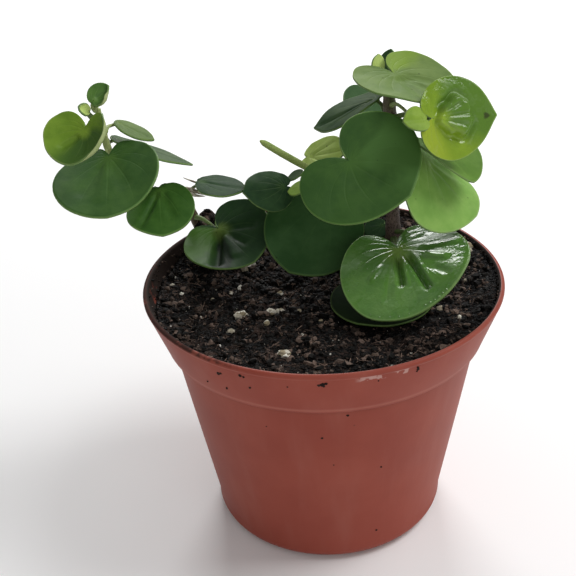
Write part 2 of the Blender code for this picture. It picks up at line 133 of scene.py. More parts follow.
# %% A socket that can be calculated with
class Wire:
    """A number that flows through a shader. Arithmetic on it adds Math nodes."""

    def __init__(self, finish, socket):
        self.finish = finish
        self.socket = socket

    def math(self, operation, *values):
        node = self.finish.add("ShaderNodeMath", {"operation": operation}, dict(enumerate(values)))
        return Wire(self.finish, node.outputs[0])

    def __add__(self, other):
        return self.math("ADD", self, other)

    def __radd__(self, other):
        return self.math("ADD", other, self)

    def __sub__(self, other):
        return self.math("SUBTRACT", self, other)

    def __rsub__(self, other):
        return self.math("SUBTRACT", other, self)

    def __mul__(self, other):
        return self.math("MULTIPLY", self, other)

    def __rmul__(self, other):
        return self.math("MULTIPLY", other, self)

    def __truediv__(self, other):
        return self.math("DIVIDE", self, other)

    def __rtruediv__(self, other):
        return self.math("DIVIDE", other, self)

    def __pow__(self, other):
        return self.math("POWER", self, other)

    def __abs__(self):
        return self.math("ABSOLUTE", self)

    def lowest(self, other):
        return self.math("MINIMUM", self, other)

    def highest(self, other):
        return self.math("MAXIMUM", self, other)

    def fraction(self):
        return self.math("FRACT", self)

    def between(self, low, high):
        """0 below low, 1 above high, with a smooth step from one to the other."""
        settings = {"interpolation_type": "SMOOTHSTEP"}
        sockets = {"Value": self, "From Min": low, "From Max": high}
        node = self.finish.add("ShaderNodeMapRange", settings, sockets)
        return Wire(self.finish, node.outputs[0])


class Finish:
    """A material that is built from nodes, around one Principled shader."""

    def __init__(self, name, **constants):
        self.material = bpy.data.materials.new(name)
        self.material.use_nodes = True
        self.tree = self.material.node_tree
        self.shader = self.tree.nodes["Principled BSDF"]
        for key, value in constants.items():
            self.shader.inputs[key.replace("_", " ")].default_value = value

    def add(self, kind, settings=None, sockets=None):
        """Adds a node: first its settings, then the values or links of its sockets."""
        node = self.tree.nodes.new(kind)
        for key, value in (settings or {}).items():
            setattr(node, key, value)
        for key, value in (sockets or {}).items():
            self.feed(node.inputs[key], value)
        return node

    def feed(self, socket, value):
        if isinstance(value, Wire):
            self.tree.links.new(value.socket, socket)
        elif isinstance(value, bpy.types.NodeSocket):
            self.tree.links.new(value, socket)
        elif isinstance(value, tuple) and len(value) == 3 and socket.type == "RGBA":
            socket.default_value = (*value, 1.0)
        else:
            socket.default_value = value

    def here(self, scale=(1, 1, 1)):
        """The place on the object, in metres, stretched by scale."""
        place = self.add("ShaderNodeTexCoord").outputs["Object"]
        sockets = {"Vector": place, "Scale": scale}
        return self.add("ShaderNodeMapping", None, sockets).outputs[0]

    def noise(self, scale, detail=2.0, rough=0.5, place=None):
        """Clouds from 0 to 1. scale is in clouds per metre."""
        sockets = {"Vector": place or self.here(), "Scale": scale, "Detail": detail, "Roughness": rough}
        return Wire(self, self.add("ShaderNodeTexNoise", None, sockets).outputs[0])

    def cells(self, scale, place=None, feature="F1"):
        """Distance to the nearest of many scattered points, and a random value for each."""
        settings = {"feature": feature}
        node = self.add("ShaderNodeTexVoronoi", settings, {"Vector": place or self.here(), "Scale": scale})
        pick = self.add("ShaderNodeSeparateXYZ", None, {0: node.outputs["Color"]})
        return Wire(self, node.outputs["Distance"]), Wire(self, pick.outputs[0])

    def blend(self, share, low, high):
        """A colour between two others."""
        settings = {"data_type": "RGBA", "clamp_factor": True}
        node = self.add("ShaderNodeMix", settings, {0: share, 6: low, 7: high})
        return node.outputs[2]

    def bump(self, height, distance, strength=1.0):
        sockets = {"Height": height, "Distance": distance, "Strength": strength}
        self.feed(self.shader.inputs["Normal"], self.add("ShaderNodeBump", None, sockets).outputs[0])

    def colour(self, value):
        self.feed(self.shader.inputs["Base Color"], value)

    def roughness(self, value):
        self.feed(self.shader.inputs["Roughness"], value)


# %% [markdown]
# ## The view
# The photograph was taken from a little above, from about 40 cm away. The camera's place and lens were
# worked out from the ellipses of the pot's rim, its band and its foot.

# %% Camera
CAMERA_PLACE = Vector((0.0, -0.313, 0.2595))
CAMERA_TURN = math.radians(-2.145)     # to the left of straight ahead
CAMERA_DOWN = math.radians(29.155)
CAMERA_TILT = math.radians(-2.862)     # the horizon's slope
LENS = 66.54                           # for a sensor 36 mm wide

ahead = Vector((math.sin(CAMERA_TURN) * math.cos(CAMERA_DOWN),
                math.cos(CAMERA_TURN) * math.cos(CAMERA_DOWN),
                -math.sin(CAMERA_DOWN)))
level = Vector((math.cos(CAMERA_TURN), -math.sin(CAMERA_TURN), 0))
upward = level.cross(ahead)
across = math.cos(CAMERA_TILT) * level + math.sin(CAMERA_TILT) * upward
upward = math.cos(CAMERA_TILT) * upward - math.sin(CAMERA_TILT) * level
select_only()
bpy.ops.object.camera_add()
camera = bpy.context.object
camera_turn = Matrix((across, upward, -ahead)).transposed()
camera.matrix_world = Matrix.Translation(CAMERA_PLACE) @ camera_turn.to_4x4()
camera.data.lens = LENS
camera.data.sensor_width = 36
camera.data.clip_start = 0.01
bpy.context.scene.camera = camera
print("camera at", [round(value, 3) for value in camera.location])

# %% [markdown]
# ## Floor and light
# The photograph has a plain white ground. A pale floor, a pale sky and three soft lamps come close. The
# strongest lamp stands behind the plant and above it, because that is where the white reflections on
# the wet leaves come from. The other two stand where no leaf mirrors them to the camera.

# %% Stage
FLOOR_SIZE = 6.0
FLOOR_DROP = 0.0002
select_only()
bpy.ops.mesh.primitive_plane_add(size=FLOOR_SIZE, location=(0, 0, -FLOOR_DROP))
floor = rename(bpy.context.object, "floor")
paper = Finish("pale_paper", Roughness=0.9, Specular_IOR_Level=0.1)
paper.colour((0.95, 0.95, 0.95))
floor.data.materials.append(paper.material)

world = bpy.data.worlds.new("studio")
world.use_nodes = True
world.node_tree.nodes["Background"].inputs["Color"].default_value = (1.0, 1.0, 1.0, 1.0)
world.node_tree.nodes["Background"].inputs["Strength"].default_value = 0.36
bpy.context.scene.world = world
bpy.context.scene.view_settings.view_transform = "Standard"

PLANT_MIDDLE = Vector((0, 0, 0.10))


def lamp(name, place, size, power):
    """A square soft lamp that looks at the middle of the plant."""
    select_only()
    bpy.ops.object.light_add(type="AREA", location=place)
    light = rename(bpy.context.object, name)
    light.data.size = size
    light.data.energy = power
    light.rotation_euler = (PLANT_MIDDLE - Vector(place)).to_track_quat("-Z", "Y").to_euler()
    return light


lamp("window_behind", (-0.05, 0.95, 0.66), 0.45, 6.5)
lamp("high_right", (0.72, 0.05, 1.05), 0.6, 8.0)
lamp("front", (0.50, -1.10, 0.30), 0.9, 3.0)
print("lamps:", len(bpy.data.lights))

# %% [markdown]
# ## The pot
# A nursery pot is blow-moulded from one thin plastic: a flat foot, a steep wall, a wider band round the
# top and a small lip. It is a body of rotation, so it starts as a disc, and its edge is extruded and
# scaled from ring to ring, up the outside, over the lip and down the inside.

# %% Sizes of the pot, in millimetres
POT_HEIGHT = 89.0
RIM_RADIUS = 60.0
LIP = 1.9
BAND_TOP_RADIUS = 59.6
BAND_FOOT_RADIUS = 54.3
BAND_FOOT_Z = 71.5
BODY_TOP_RADIUS = 51.8
BODY_FOOT_RADIUS = 40.2
BODY_FOOT_Z = 5.0
FOOT_RADIUS = 35.5
WALL = 1.2
FLOOR_THICK = 1.8
POT_SIDES = 160


def wall_inside(z):
    """The pot's inner radius at a height, in millimetres."""
    step_z = BAND_FOOT_Z + WALL
    if z >= step_z:
        low = BAND_FOOT_RADIUS - WALL
        return low + (RIM_RADIUS - LIP - low) * (z - step_z) / (POT_HEIGHT - LIP - step_z)
    rise = (z - BODY_FOOT_Z) / (BAND_FOOT_Z - BODY_FOOT_Z)
    return BODY_FOOT_RADIUS - WALL + (BODY_TOP_RADIUS - BODY_FOOT_RADIUS) * rise


def arc(middle, radius, start, end, steps):
    """Points of a section's rounded corner, angles in degrees."""
    turns = [math.radians(start + (end - start) * k / steps) for k in range(steps + 1)]
    return [(middle[0] + radius * math.cos(a), middle[1] + radius * math.sin(a)) for a in turns]


def pot_rings():
    foot = arc((FOOT_RADIUS + 0.2, BODY_FOOT_Z), BODY_FOOT_Z, -88, -8, 8)
    foot = [(radius * 0.985 + 0.4, z) for radius, z in foot]
    band = arc((BAND_FOOT_RADIUS - 0.9, BAND_FOOT_Z + 0.8), 0.8, -90, 0, 4)
    lip = arc((RIM_RADIUS - LIP / 2, POT_HEIGHT - LIP / 2), LIP / 2, -60, 180, 10)
    inside = [(wall_inside(z), z) for z in (POT_HEIGHT - LIP, 82.0, BAND_FOOT_Z + WALL)]
    inside += [(wall_inside(z), z) for z in (BAND_FOOT_Z - 0.4, BODY_FOOT_Z)]
    return [
        (FOOT_RADIUS, 0.0),
        *foot,
        (BODY_FOOT_RADIUS, BODY_FOOT_Z + 1.0),
        (46.0 + 0.04, 38.5),
        (BODY_TOP_RADIUS - 0.15, BAND_FOOT_Z - 1.4),
        (BODY_TOP_RADIUS, BAND_FOOT_Z - 0.5),
        (BODY_TOP_RADIUS + 0.5, BAND_FOOT_Z - 0.05),
        *band,
        (BAND_FOOT_RADIUS + 0.2, BAND_FOOT_Z + 1.6),
        (BAND_TOP_RADIUS - 0.3, POT_HEIGHT - LIP - 0.9),
        (BAND_TOP_RADIUS - 0.2, POT_HEIGHT - LIP - 0.2),
        *lip,
        *inside,
        (FOOT_RADIUS - 1.0, FLOOR_THICK),
    ]


# %% Raise the pot ring by ring
def turned(name, rings, sides):
    """A closed body of rotation whose section is rings of (radius, z) in millimetres."""
    select_only()
    first_radius, first_z = rings[0]
    bpy.ops.mesh.primitive_circle_add(vertices=sides, radius=first_radius * MM, fill_type="NGON",
                                      location=(0, 0, first_z * MM))
    part = rename(bpy.context.object, name)
    edit(part)
    for (low_radius, low_z), (radius, z) in zip(rings, rings[1:]):
        bpy.ops.mesh.extrude_edges_move(TRANSFORM_OT_translate={"value": (0, 0, (z - low_z) * MM)})
        grow = radius / low_radius
        bpy.ops.transform.resize(value=(grow, grow, 1), center_override=(0, 0, 0))
    bpy.ops.mesh.edge_face_add()
    bpy.ops.mesh.select_all(action="SELECT")
    bpy.ops.mesh.normals_make_consistent(inside=False)
    object_mode()
    apply_place(part)
    return part


pot = turned("pot_body", pot_rings(), POT_SIDES)
print("pot faces:", len(pot.data.polygons), "size:", [round(side, 4) for side in pot.dimensions])

# %% [markdown]
# The foot has six round drain holes. Six cylinders are joined into one cutter, and a Boolean takes
# them out of the floor.

# %% Drain holes
DRAIN_HOLES = 6
DRAIN_RADIUS = 4.5
DRAIN_RING = 25.0

cutters = []
for k in range(DRAIN_HOLES):
    angle = 2 * math.pi * (k + 0.5) / DRAIN_HOLES
    place = (math.cos(angle) * DRAIN_RING * MM, math.sin(angle) * DRAIN_RING * MM, 0)
    select_only()
    bpy.ops.mesh.primitive_cylinder_add(vertices=40, radius=DRAIN_RADIUS * MM, depth=6 * MM, location=place)
    cutters.append(bpy.context.object)
drill = join(*cutters)
apply_modifier(pot, "BOOLEAN", operation="DIFFERENCE", object=drill, solver="EXACT")
bpy.data.objects.remove(drill, do_unlink=True)
print("pot faces with holes:", len(pot.data.polygons))

# %% [markdown]
# ## The pot's finish
# The plastic is a dull brick red, a little darker towards the foot. Soil has smeared the lip and the
# inside of the wall, and small dark spots stick to the outside. The dark inside of the wall and the
# darker left of the lip are painted shade as well as soil. A thin painted shadow lies under the band's
# foot, with a thin painted highlight just above it, and the front of the lip has a pale patch. All this
# is worked out from the height and the distance from the axis, mixed with noise.

# %% Brick-red plastic
def pot_plastic():
    finish = Finish("brick_plastic", Specular_IOR_Level=0.18)
    place = finish.add("ShaderNodeTexCoord").outputs["Object"]
    parts = finish.add("ShaderNodeSeparateXYZ", None, {0: place})
    x, y, z = [Wire(finish, parts.outputs[k]) for k in range(3)]
    far = (x * x + y * y) ** 0.5
    tall = finish.here((1, 1, 0.12))
    streaks = finish.noise(90, 3, 0.6, tall)
    clouds = finish.noise(38, 3, 0.6)
    fine = finish.noise(900, 2, 0.6)
    red = finish.blend(clouds.between(0.3, 0.75), (0.262, 0.052, 0.033), (0.305, 0.068, 0.044))
    red = finish.blend(streaks.between(0.45, 0.8) * 0.35, red, (0.34, 0.11, 0.080))
    # Darker red towards the foot, in clouds.
    foot_darkening = (1 - z.between(0.002, 0.030)) * clouds.between(0.35, 0.7) * 0.35
    red = finish.blend(foot_darkening, red, (0.25, 0.045, 0.030))
    # A thin painted shadow under the band's foot, and just above it a thin painted highlight on the band.
    ledge_painted_shadow = z.between((BAND_FOOT_Z - 3.0) * MM, BAND_FOOT_Z * MM)
    ledge_painted_shadow = ledge_painted_shadow * (1 - z.between(BAND_FOOT_Z * MM, (BAND_FOOT_Z + 0.5) * MM))
    red = finish.blend(ledge_painted_shadow * 0.45, red, (0.150, 0.035, 0.024))
    above = z.between((BAND_FOOT_Z + 0.4) * MM, (BAND_FOOT_Z + 1.2) * MM)
    above = above * (1 - z.between((BAND_FOOT_Z + 1.2) * MM, (BAND_FOOT_Z + 2.4) * MM))
    red = finish.blend(above * 0.35, red, (0.45, 0.17, 0.13))
    way = finish.add("ShaderNodeNewGeometry").outputs["True Normal"]
    ways = finish.add("ShaderNodeSeparateXYZ", None, {0: way})
    outward = (x * Wire(finish, ways.outputs[0]) + y * Wire(finish, ways.outputs[1])) / far
    # The inside of the wall is darkened almost all over: soil smears, and painted shade inside the pot.
    inside = 1 - outward.between(-0.3, -0.1)
    smear = finish.noise(160, 4, 0.65)
    inside_dirt_and_shade = inside * smear.between(0.22, 0.42)
    # The lip is darkened by soil smears, the more so on the left, where this is also painted shade on the
    # side away from the light.
    lip = z.between((POT_HEIGHT - 1.3) * MM, (POT_HEIGHT - 0.4) * MM)
    left = 1 - x.between(-0.050, -0.010)
    lip_dirt_and_shade = lip * (smear * (0.35 + 0.65 * left)).between(0.26, 0.46)
    # Soil smears, spots, and the painted shade inside the pot and on the left of the lip, together.
    dirt_and_painted_shade = inside_dirt_and_shade.highest(lip_dirt_and_shade * 0.9)
    gap, pick = finish.cells(240)
    spot = (1 - (gap + smear * 0.3).between(0.18, 0.26)) * pick.between(0.92, 0.94)
    high = z.between(0.055, 0.088)
    dirt_and_painted_shade = dirt_and_painted_shade.highest(spot * (0.25 + 0.75 * high))
    # A pale whitish-pink patch on the front of the lip.
    pale_lip_patch = x.between(0.008, 0.011) * (1 - x.between(0.024, 0.027)) * (1 - y.between(-0.050, -0.040))
    pale_lip_patch = pale_lip_patch * z.between(0.0852, 0.0858) * (1 - z.between(0.0870, 0.0876))
    pale_lip_patch = pale_lip_patch * finish.noise(330, 2, 0.6).between(0.48, 0.56)
    red = finish.blend(pale_lip_patch * 0.55, red, (0.60, 0.40, 0.36))
    finish.colour(finish.blend(dirt_and_painted_shade, red, (0.022, 0.014, 0.011)))
    finish.roughness(0.44 + 0.12 * clouds + 0.35 * dirt_and_painted_shade)
    finish.bump(fine * 0.25 + streaks * 0.3 + dirt_and_painted_shade * 1.2, 0.0002, 0.5)
    return finish.material


pot.data.materials.append(pot_plastic())
finish_piece(pot, "pot")
select_only(pot)
bpy.ops.object.shade_smooth_by_angle(angle=math.radians(35))
print("finish:", pot.data.materials[0].name)

# %% [markdown]
# ## The soil
# Potting soil is black crumbs, brown fibres and pale grains of perlite. The surface is one round grid,
# bent into a disc and raised by the same heights as the solid, with finer lumps on top. A grid bends
# into a disc when one side is read as the distance from the middle and the other as the angle.

# %% A round grid
def round_grid(name, rings, spokes):
    """A flat grid to be bent into a disc. Returns it with each point's share of the way out, 0 to 1,
    and its turn, -1 to 1."""
    select_only()
    bpy.ops.mesh.primitive_grid_add(x_subdivisions=rings, y_subdivisions=spokes, size=2)
    part = rename(bpy.context.object, name)
    flat = points_of(part)
    return part, (flat[:, 0] + 1) / 2, flat[:, 1]


def close_grid(part, nearness=0.00001):
    """Merges the middle and the seam of a bent grid, which are the points nearer than this."""
    edit(part)
    bpy.ops.mesh.remove_doubles(threshold=nearness)
    object_mode()


# %% The soil's heights
SOIL_LEVEL = 80.0
SOIL_CROWN = 1.2
SOIL_LUMPS = 0.9
SOIL_BANK = 5.0
SOIL_BANK_LEAN = 0.45
SOIL_BANK_SIDE = math.radians(20)
HEAP_PLACE = (-41.0, 36.0)
HEAP_HEIGHT = 14.0
HEAP_SPREAD = 6.0
HOLLOW_PLACE = (19.0, -8.0)
HOLLOW_DEPTH = 1.0
HOLLOW_SPREAD = 14.0
ROOM = 0.3


def bump_at(x, y, place, spread):
    return math.exp(-((x - place[0]) ** 2 + (y - place[1]) ** 2) / (2 * spread * spread))


def soil_bank(angle):
    return SOIL_BANK * (1 + SOIL_BANK_LEAN * math.cos(angle - SOIL_BANK_SIDE))


def soil_height(x, y):
    """Height of the soil's surface in millimetres, without crumbs."""
    out = min(1.0, math.hypot(x, y) / wall_inside(SOIL_LEVEL))
    lumps = noise.noise(Vector((x * 0.16, y * 0.16, 3.7)))
    lumps += 0.6 * noise.noise(Vector((x * 0.4, y * 0.4, 1.2)))
    height = SOIL_LEVEL + SOIL_CROWN * (1 - out * out) + SOIL_LUMPS * lumps
    height += soil_bank(math.atan2(y, x)) * out ** 4
    height += HEAP_HEIGHT * bump_at(x, y, HEAP_PLACE, HEAP_SPREAD)
    return height - HOLLOW_DEPTH * bump_at(x, y, HOLLOW_PLACE, HOLLOW_SPREAD)


def crumbs(x, y):
    """The finer unevenness of the surface, in millimetres."""
    wide = noise.noise(Vector((x * 0.7, y * 0.7, 8.1)))
    fine = noise.noise(Vector((x * 1.7, y * 1.7, 2.4)))
    return 0.55 * wide + 0.45 * abs(fine)


# %% Bend the grid into the soil's surface
SOIL_RINGS = 90
SOIL_SPOKES = 320

soil, share, turn = round_grid("soil_surface", SOIL_RINGS, SOIL_SPOKES)
heights = np.empty((len(share), 3))
for k, (out, way) in enumerate(zip(share, turn)):
    angle = math.pi * way
    radius = (wall_inside(SOIL_LEVEL + soil_bank(angle) - 1.0) - ROOM) * out
    x = radius * math.cos(angle)
    y = radius * math.sin(angle)
    heights[k] = (x, y, soil_height(x, y) + crumbs(x, y))
set_points(soil, heights * MM)
close_grid(soil)
print("soil surface faces:", len(soil.data.polygons))

# %% [markdown]
# The disc becomes a closed body: its outer edge is the only loop of edges with one face, so it can be
# selected as non-manifold, extruded down along the pot's wall, and filled at the bottom.

# %% Draw the edge down and close it
SKIRT_FOOT = (33.8, 2.2)
edit(soil, "DESELECT")
bpy.ops.mesh.select_mode(type="EDGE")
bpy.ops.mesh.select_non_manifold()
for radius, z in ((52.6, 73.2), (50.2, 72.4), (38.5, 5.4), SKIRT_FOOT):
    bpy.ops.mesh.extrude_edges_move()
    object_mode()
    for vert in soil.data.vertices:
        if vert.select:
            flat = Vector((vert.co.x, vert.co.y, 0)).normalized() * radius
            vert.co = Vector((flat.x, flat.y, z)) * MM
    bpy.ops.object.mode_set(mode="EDIT")
bpy.ops.mesh.edge_face_add()
bpy.ops.mesh.select_all(action="SELECT")
bpy.ops.mesh.normals_make_consistent(inside=False)
object_mode()
print("soil z:", round(min(v.co.z for v in soil.data.vertices), 4))

# %% [markdown]
# ## The soil's finish
# Wet peat is almost black, and what shows are the brown bits between. Cells of random brightness make
# single crumbs, and stretched noise makes the fibres that are too thin to model.

# %% Peat, fibre and perlite
def peat():
    finish = Finish("peat", Specular_IOR_Level=0.1)
    gap, pick = finish.cells(1100)
    wide_gap, wide_pick = finish.cells(430)
    clouds = finish.noise(75, 3, 0.6)
    fibre_a = finish.noise(520, 2, 0.55, finish.here((1, 0.12, 0.5)))
    fibre_b = finish.noise(520, 2, 0.55, finish.here((0.12, 1, 0.5)))
    threads = fibre_a.between(0.60, 0.66).highest(fibre_b.between(0.60, 0.66))
    loose = clouds.between(0.40, 0.62)
    dark = finish.blend(wide_pick * loose, (0.001, 0.001, 0.001), (0.006, 0.004, 0.0035))
    dark = finish.blend(pick.between(0.70, 0.97) * (0.2 + 0.8 * loose), dark, (0.040, 0.026, 0.021))
    dark = finish.blend(threads * (0.2 + 0.8 * loose) * 0.7, dark, (0.085, 0.053, 0.042))
    finish.colour(dark)
    finish.roughness(0.45 + 0.5 * pick)
    finish.bump(gap * -1.0 + wide_gap * -1.3 + threads * 0.5 + pick * 0.8, 0.0010, 1.0)
    return finish.material


def crumb_finish(name, dark, pale, roughness, rare=1.0):
    """Bits of many shades between dark and pale. The higher rare, the fewer of them are pale."""
    finish = Finish(name, Specular_IOR_Level=0.12, Roughness=roughness)
    gap, pick = finish.cells(420)
    fine = finish.noise(1500, 3, 0.6)
    finish.colour(finish.blend((0.7 * pick + 0.3 * fine).between(0.15, 0.85) ** rare, dark, pale))
    finish.bump(fine, 0.0003, 0.6)
    return finish.material


soil.data.materials.append(peat())
finish_piece(soil, "soil")
print("finish:", soil.data.materials[0].name)

# %% [markdown]
# ## Crumbs, fibres and grains
# Hundreds of crumbs lie loose on the surface. Each is a copy of one small ball, made once from a cube,
# so it has only a few dozen faces. The copies are turned, stretched and placed at random, with a fixed
# seed so that they fall the same way each time.

# %% One crumb, one fibre
def small_ball(name):
    """A rounded cube, the start of every crumb."""
    select_only()
    bpy.ops.mesh.primitive_cube_add(size=2)
    ball = rename(bpy.context.object, name)
    edit(ball)
    bpy.ops.mesh.subdivide(number_cuts=1)
    bpy.ops.transform.tosphere(value=0.5)
    bpy.ops.transform.vertex_random(offset=0.42, seed=3)
    object_mode()
    return ball


def tube(name, route, sides=2, smooth=False):
    """A closed tube along (x, y, z, radius) in millimetres."""
    line = bpy.data.curves.new(name, "CURVE")
    line.dimensions = "3D"
    line.bevel_depth = MM
    line.bevel_resolution = sides
    line.use_fill_caps = True
    spline = line.splines.new("POLY")
    spline.points.add(len(route) - 1)
    for point, (x, y, z, radius) in zip(spline.points, route):
        point.co = (x * MM, y * MM, z * MM, 1.0)
        point.radius = radius
    part = bpy.data.objects.new(name, line)
    bpy.context.scene.collection.objects.link(part)
    select_only(part)
    bpy.ops.object.convert(target="MESH")
    part = bpy.context.object
    close_grid(part)
    return part


def scatter(name, model, places):
    """Many copies of one small mesh as one piece. Each place is a 4x4 matrix, in metres."""
    shape = points_of(model)
    faces = [tuple(face.vertices) for face in model.data.polygons]
    points = []
    copies = []
    for k, place in enumerate(places):
        turned_shape = shape @ np.array(place.to_3x3()).T + np.array(place.translation)
        points.append(turned_shape)
        start = k * len(shape)
        copies += [tuple(start + corner for corner in face) for face in faces]
    mesh = bpy.data.meshes.new(name)
    mesh.from_pydata(np.vstack(points).tolist(), [], copies)
    part = bpy.data.objects.new(name, mesh)
    bpy.context.scene.collection.objects.link(part)
    bpy.data.objects.remove(model, do_unlink=True)
    return part


# %% Throw them on the soil
CRUMBS = 3400
CRUMB_SIZE = (0.22, 1.20)        # millimetres, radius
WALL_CRUMBS = 420
FIBRES = 2400
PAINTED_GLINTS = 150
draw = random.Random(11)


def spot_on_soil(edge=1.5):
    """A random place on the soil, evenly spread."""
    angle = draw.uniform(0, 2 * math.pi)
    radius = (wall_inside(SOIL_LEVEL + soil_bank(angle) - 1.0) - edge) * math.sqrt(draw.random())
    x = radius * math.cos(angle)
    y = radius * math.sin(angle)
    return x, y, soil_height(x, y) + crumbs(x, y)


def tumbled(place, size, squeeze=1.0):
    """A matrix that turns a unit shape at random, stretches it and puts it at a place."""
    turn = Matrix.Rotation(draw.uniform(0, 2 * math.pi), 4, "Z")
    turn = turn @ Matrix.Rotation(draw.uniform(-0.6, 0.6), 4, "X")
    stretch = Matrix.Diagonal((size * draw.uniform(0.8, 1.4), size * draw.uniform(0.6, 1.0),
                               size * draw.uniform(0.5, 0.9) * squeeze, 1.0))
    shear = Matrix.Shear("XY", 4, (draw.uniform(-0.5, 0.5), draw.uniform(-0.5, 0.5)))
    return Matrix.Translation(Vector(place) * MM) @ turn @ shear @ stretch


def crumb_places(count, small, large):
    places = []
    for _ in range(count):
        x, y, z = spot_on_soil()
        size = small + (large - small) * draw.random() ** 4
        places.append(tumbled((x, y, z + size * 0.15), size * MM))
    return places


def wall_places(count):
    """Crumbs that stick to the inside of the pot's wall, fewer of them higher up."""
    places = []
    for _ in range(count):
        angle = draw.uniform(0, 2 * math.pi)
        edge = SOIL_LEVEL + soil_bank(angle)
        z = min(edge + (POT_HEIGHT - edge) * draw.random() ** 2.5, POT_HEIGHT - 1.0)
        radius = wall_inside(min(z, POT_HEIGHT - LIP)) - 0.15
        places.append(tumbled((radius * math.cos(angle), radius * math.sin(angle), z),
                              draw.uniform(0.15, 0.50) * MM))
    return places


loose = scatter("soil_crumbs", small_ball("crumb"),
                crumb_places(CRUMBS, *CRUMB_SIZE) + wall_places(WALL_CRUMBS))
crumb_look = crumb_finish("crumb", (0.002, 0.0015, 0.001), (0.150, 0.104, 0.082), 0.7, rare=5.0)
loose.data.materials.append(crumb_look)
finish_piece(loose, None, smooth=False)
# Tiny pale specks on the soil: painted glints of the wet crumbs.
painted_glints = scatter("soil_sparks", small_ball("spark"), crumb_places(PAINTED_GLINTS, 0.14, 0.40))
painted_glints.data.materials.append(crumb_finish("pale_bits", (0.30, 0.27, 0.22), (0.75, 0.72, 0.66), 0.6))
finish_piece(painted_glints, None, smooth=False)
print("crumbs:", CRUMBS, "faces:", len(loose.data.polygons))

# %% Fibres
fibre_route = [(-3.0, 0.0, -0.3, 0.07), (-1.6, 0.9, 0.45, 0.11), (0.0, 0.1, 0.75, 0.12),
               (1.5, -0.8, 0.45, 0.10), (2.9, 0.2, -0.3, 0.06)]
fibre = tube("fibre", fibre_route, sides=0)
fibre_places = []
for _ in range(FIBRES):
    x, y, z = spot_on_soil(3.0)
    turn = Matrix.Rotation(draw.uniform(0, 2 * math.pi), 4, "Z")
    turn = turn @ Matrix.Rotation(draw.gauss(0, 0.35), 4, "Y")
    size = 0.15 + 0.75 * draw.random() ** 2
    bend = Matrix.Diagonal((size, size * draw.uniform(-2.0, 2.0), size, 1.0))
    fibre_places.append(Matrix.Translation(Vector((x, y, z + 0.1)) * MM) @ turn @ bend)
fibres = scatter("soil_fibres", fibre, fibre_places)
fibre_look = crumb_finish("fibre", (0.012, 0.007, 0.006), (0.260, 0.178, 0.138), 0.65, rare=2.5)
fibres.data.materials.append(fibre_look)
finish_piece(fibres, None)
print("fibres:", FIBRES)

# %% [markdown]
# The perlite grains are the largest pale bits, at the places where the photograph shows them. Each
# starts as a ball and is roughened by noise.

# %% Perlite
GRAINS = [(-26.9, 20.5, 2.1), (-25.1, 23.2, 1.4), (-28.6, 8, 1.1), (-14.7, 2.2, 1.2), (-27.3, -11.6, 2.3),
          (-17.4, -9.7, 1.6), (-14.2, -9.2, 1.4), (-18.5, -17.2, 1.3), (-12.7, -37.2, 2.0), (38, -13, 1.4),
          (-29.9, -22.7, 1.2), (26.1, -30.1, 0.8), (51, 21, 1.9), (51.5, 18.5, 1.2), (-52, 8, 0.8),
          (-48, 2, 0.7), (-37.5, 0, 0.7), (-31.5, 4, 0.8), (-40, -12, 0.7), (-8, -10, 0.7), (-1, -16, 0.8),
          (-7, -25, 0.7), (48, 2, 0.8), (43, -22, 0.8)]


def perlite(name, x, y, radius):
    select_only()
    bpy.ops.mesh.primitive_ico_sphere_add(subdivisions=3 if radius < 1 else 4, radius=radius)
    grain = rename(bpy.context.object, name)
    turn = Matrix.Rotation(draw.uniform(0, math.pi), 3, "Z")
    turn = turn @ Matrix.Rotation(draw.uniform(0, math.pi), 3, "X")
    centre = Vector((x, y, soil_height(x, y) + radius * 0.25))
    shaped = []
    for vert in grain.data.vertices:
        rough = noise.noise(vert.co * 0.9 / radius * 1.6 + centre)
        fine = noise.noise(vert.co * 4.0 / radius + centre)
        co = vert.co * (1 + 0.42 * rough + 0.16 * fine)
        co = turn @ Vector((co.x * 1.1, co.y * 0.8, co.z * 0.75))
        shaped.append((co + centre) * MM)
    set_points(grain, shaped)
    return grain


grains = [perlite(f"grain_{k}", *row) for k, row in enumerate(GRAINS)]
perlite_grains = rename(join(*grains), "perlite_grains")
perlite_grains.data.materials.append(crumb_finish("perlite", (0.26, 0.21, 0.13), (0.85, 0.82, 0.72), 0.8))
finish_piece(perlite_grains, None)
print("perlite grains:", len(GRAINS))

# %% [markdown]
# ## The stems
# The stems are tubes along smooth curves. A real stem is a little thicker where a stalk leaves it, so
# the radius swells at those heights. The bark is grey brown and full of fine dark speckles.

# %% Smooth curves through points
def smooth_route(points, pieces=4):
    """Points along a smooth curve through the given ones, any number of values each."""
    first = [2 * a - b for a, b in zip(points[0], points[1])]
    last = [2 * a - b for a, b in zip(points[-1], points[-2])]
    padded = [first, *points, last]
    route = []
    for k in range(1, len(padded) - 2):
        before, start, end, after = padded[k - 1:k + 3]
        for step in range(pieces):
            t = step / pieces
            route.append(tuple(
                0.5 * (2 * s + (e - b) * t + (2 * b - 5 * s + 4 * e - a) * t * t
                       + (3 * s - b - 3 * e + a) * t ** 3)
                for b, s, e, a in zip(before, start, end, after)))
    route.append(tuple(points[-1]))
    return route


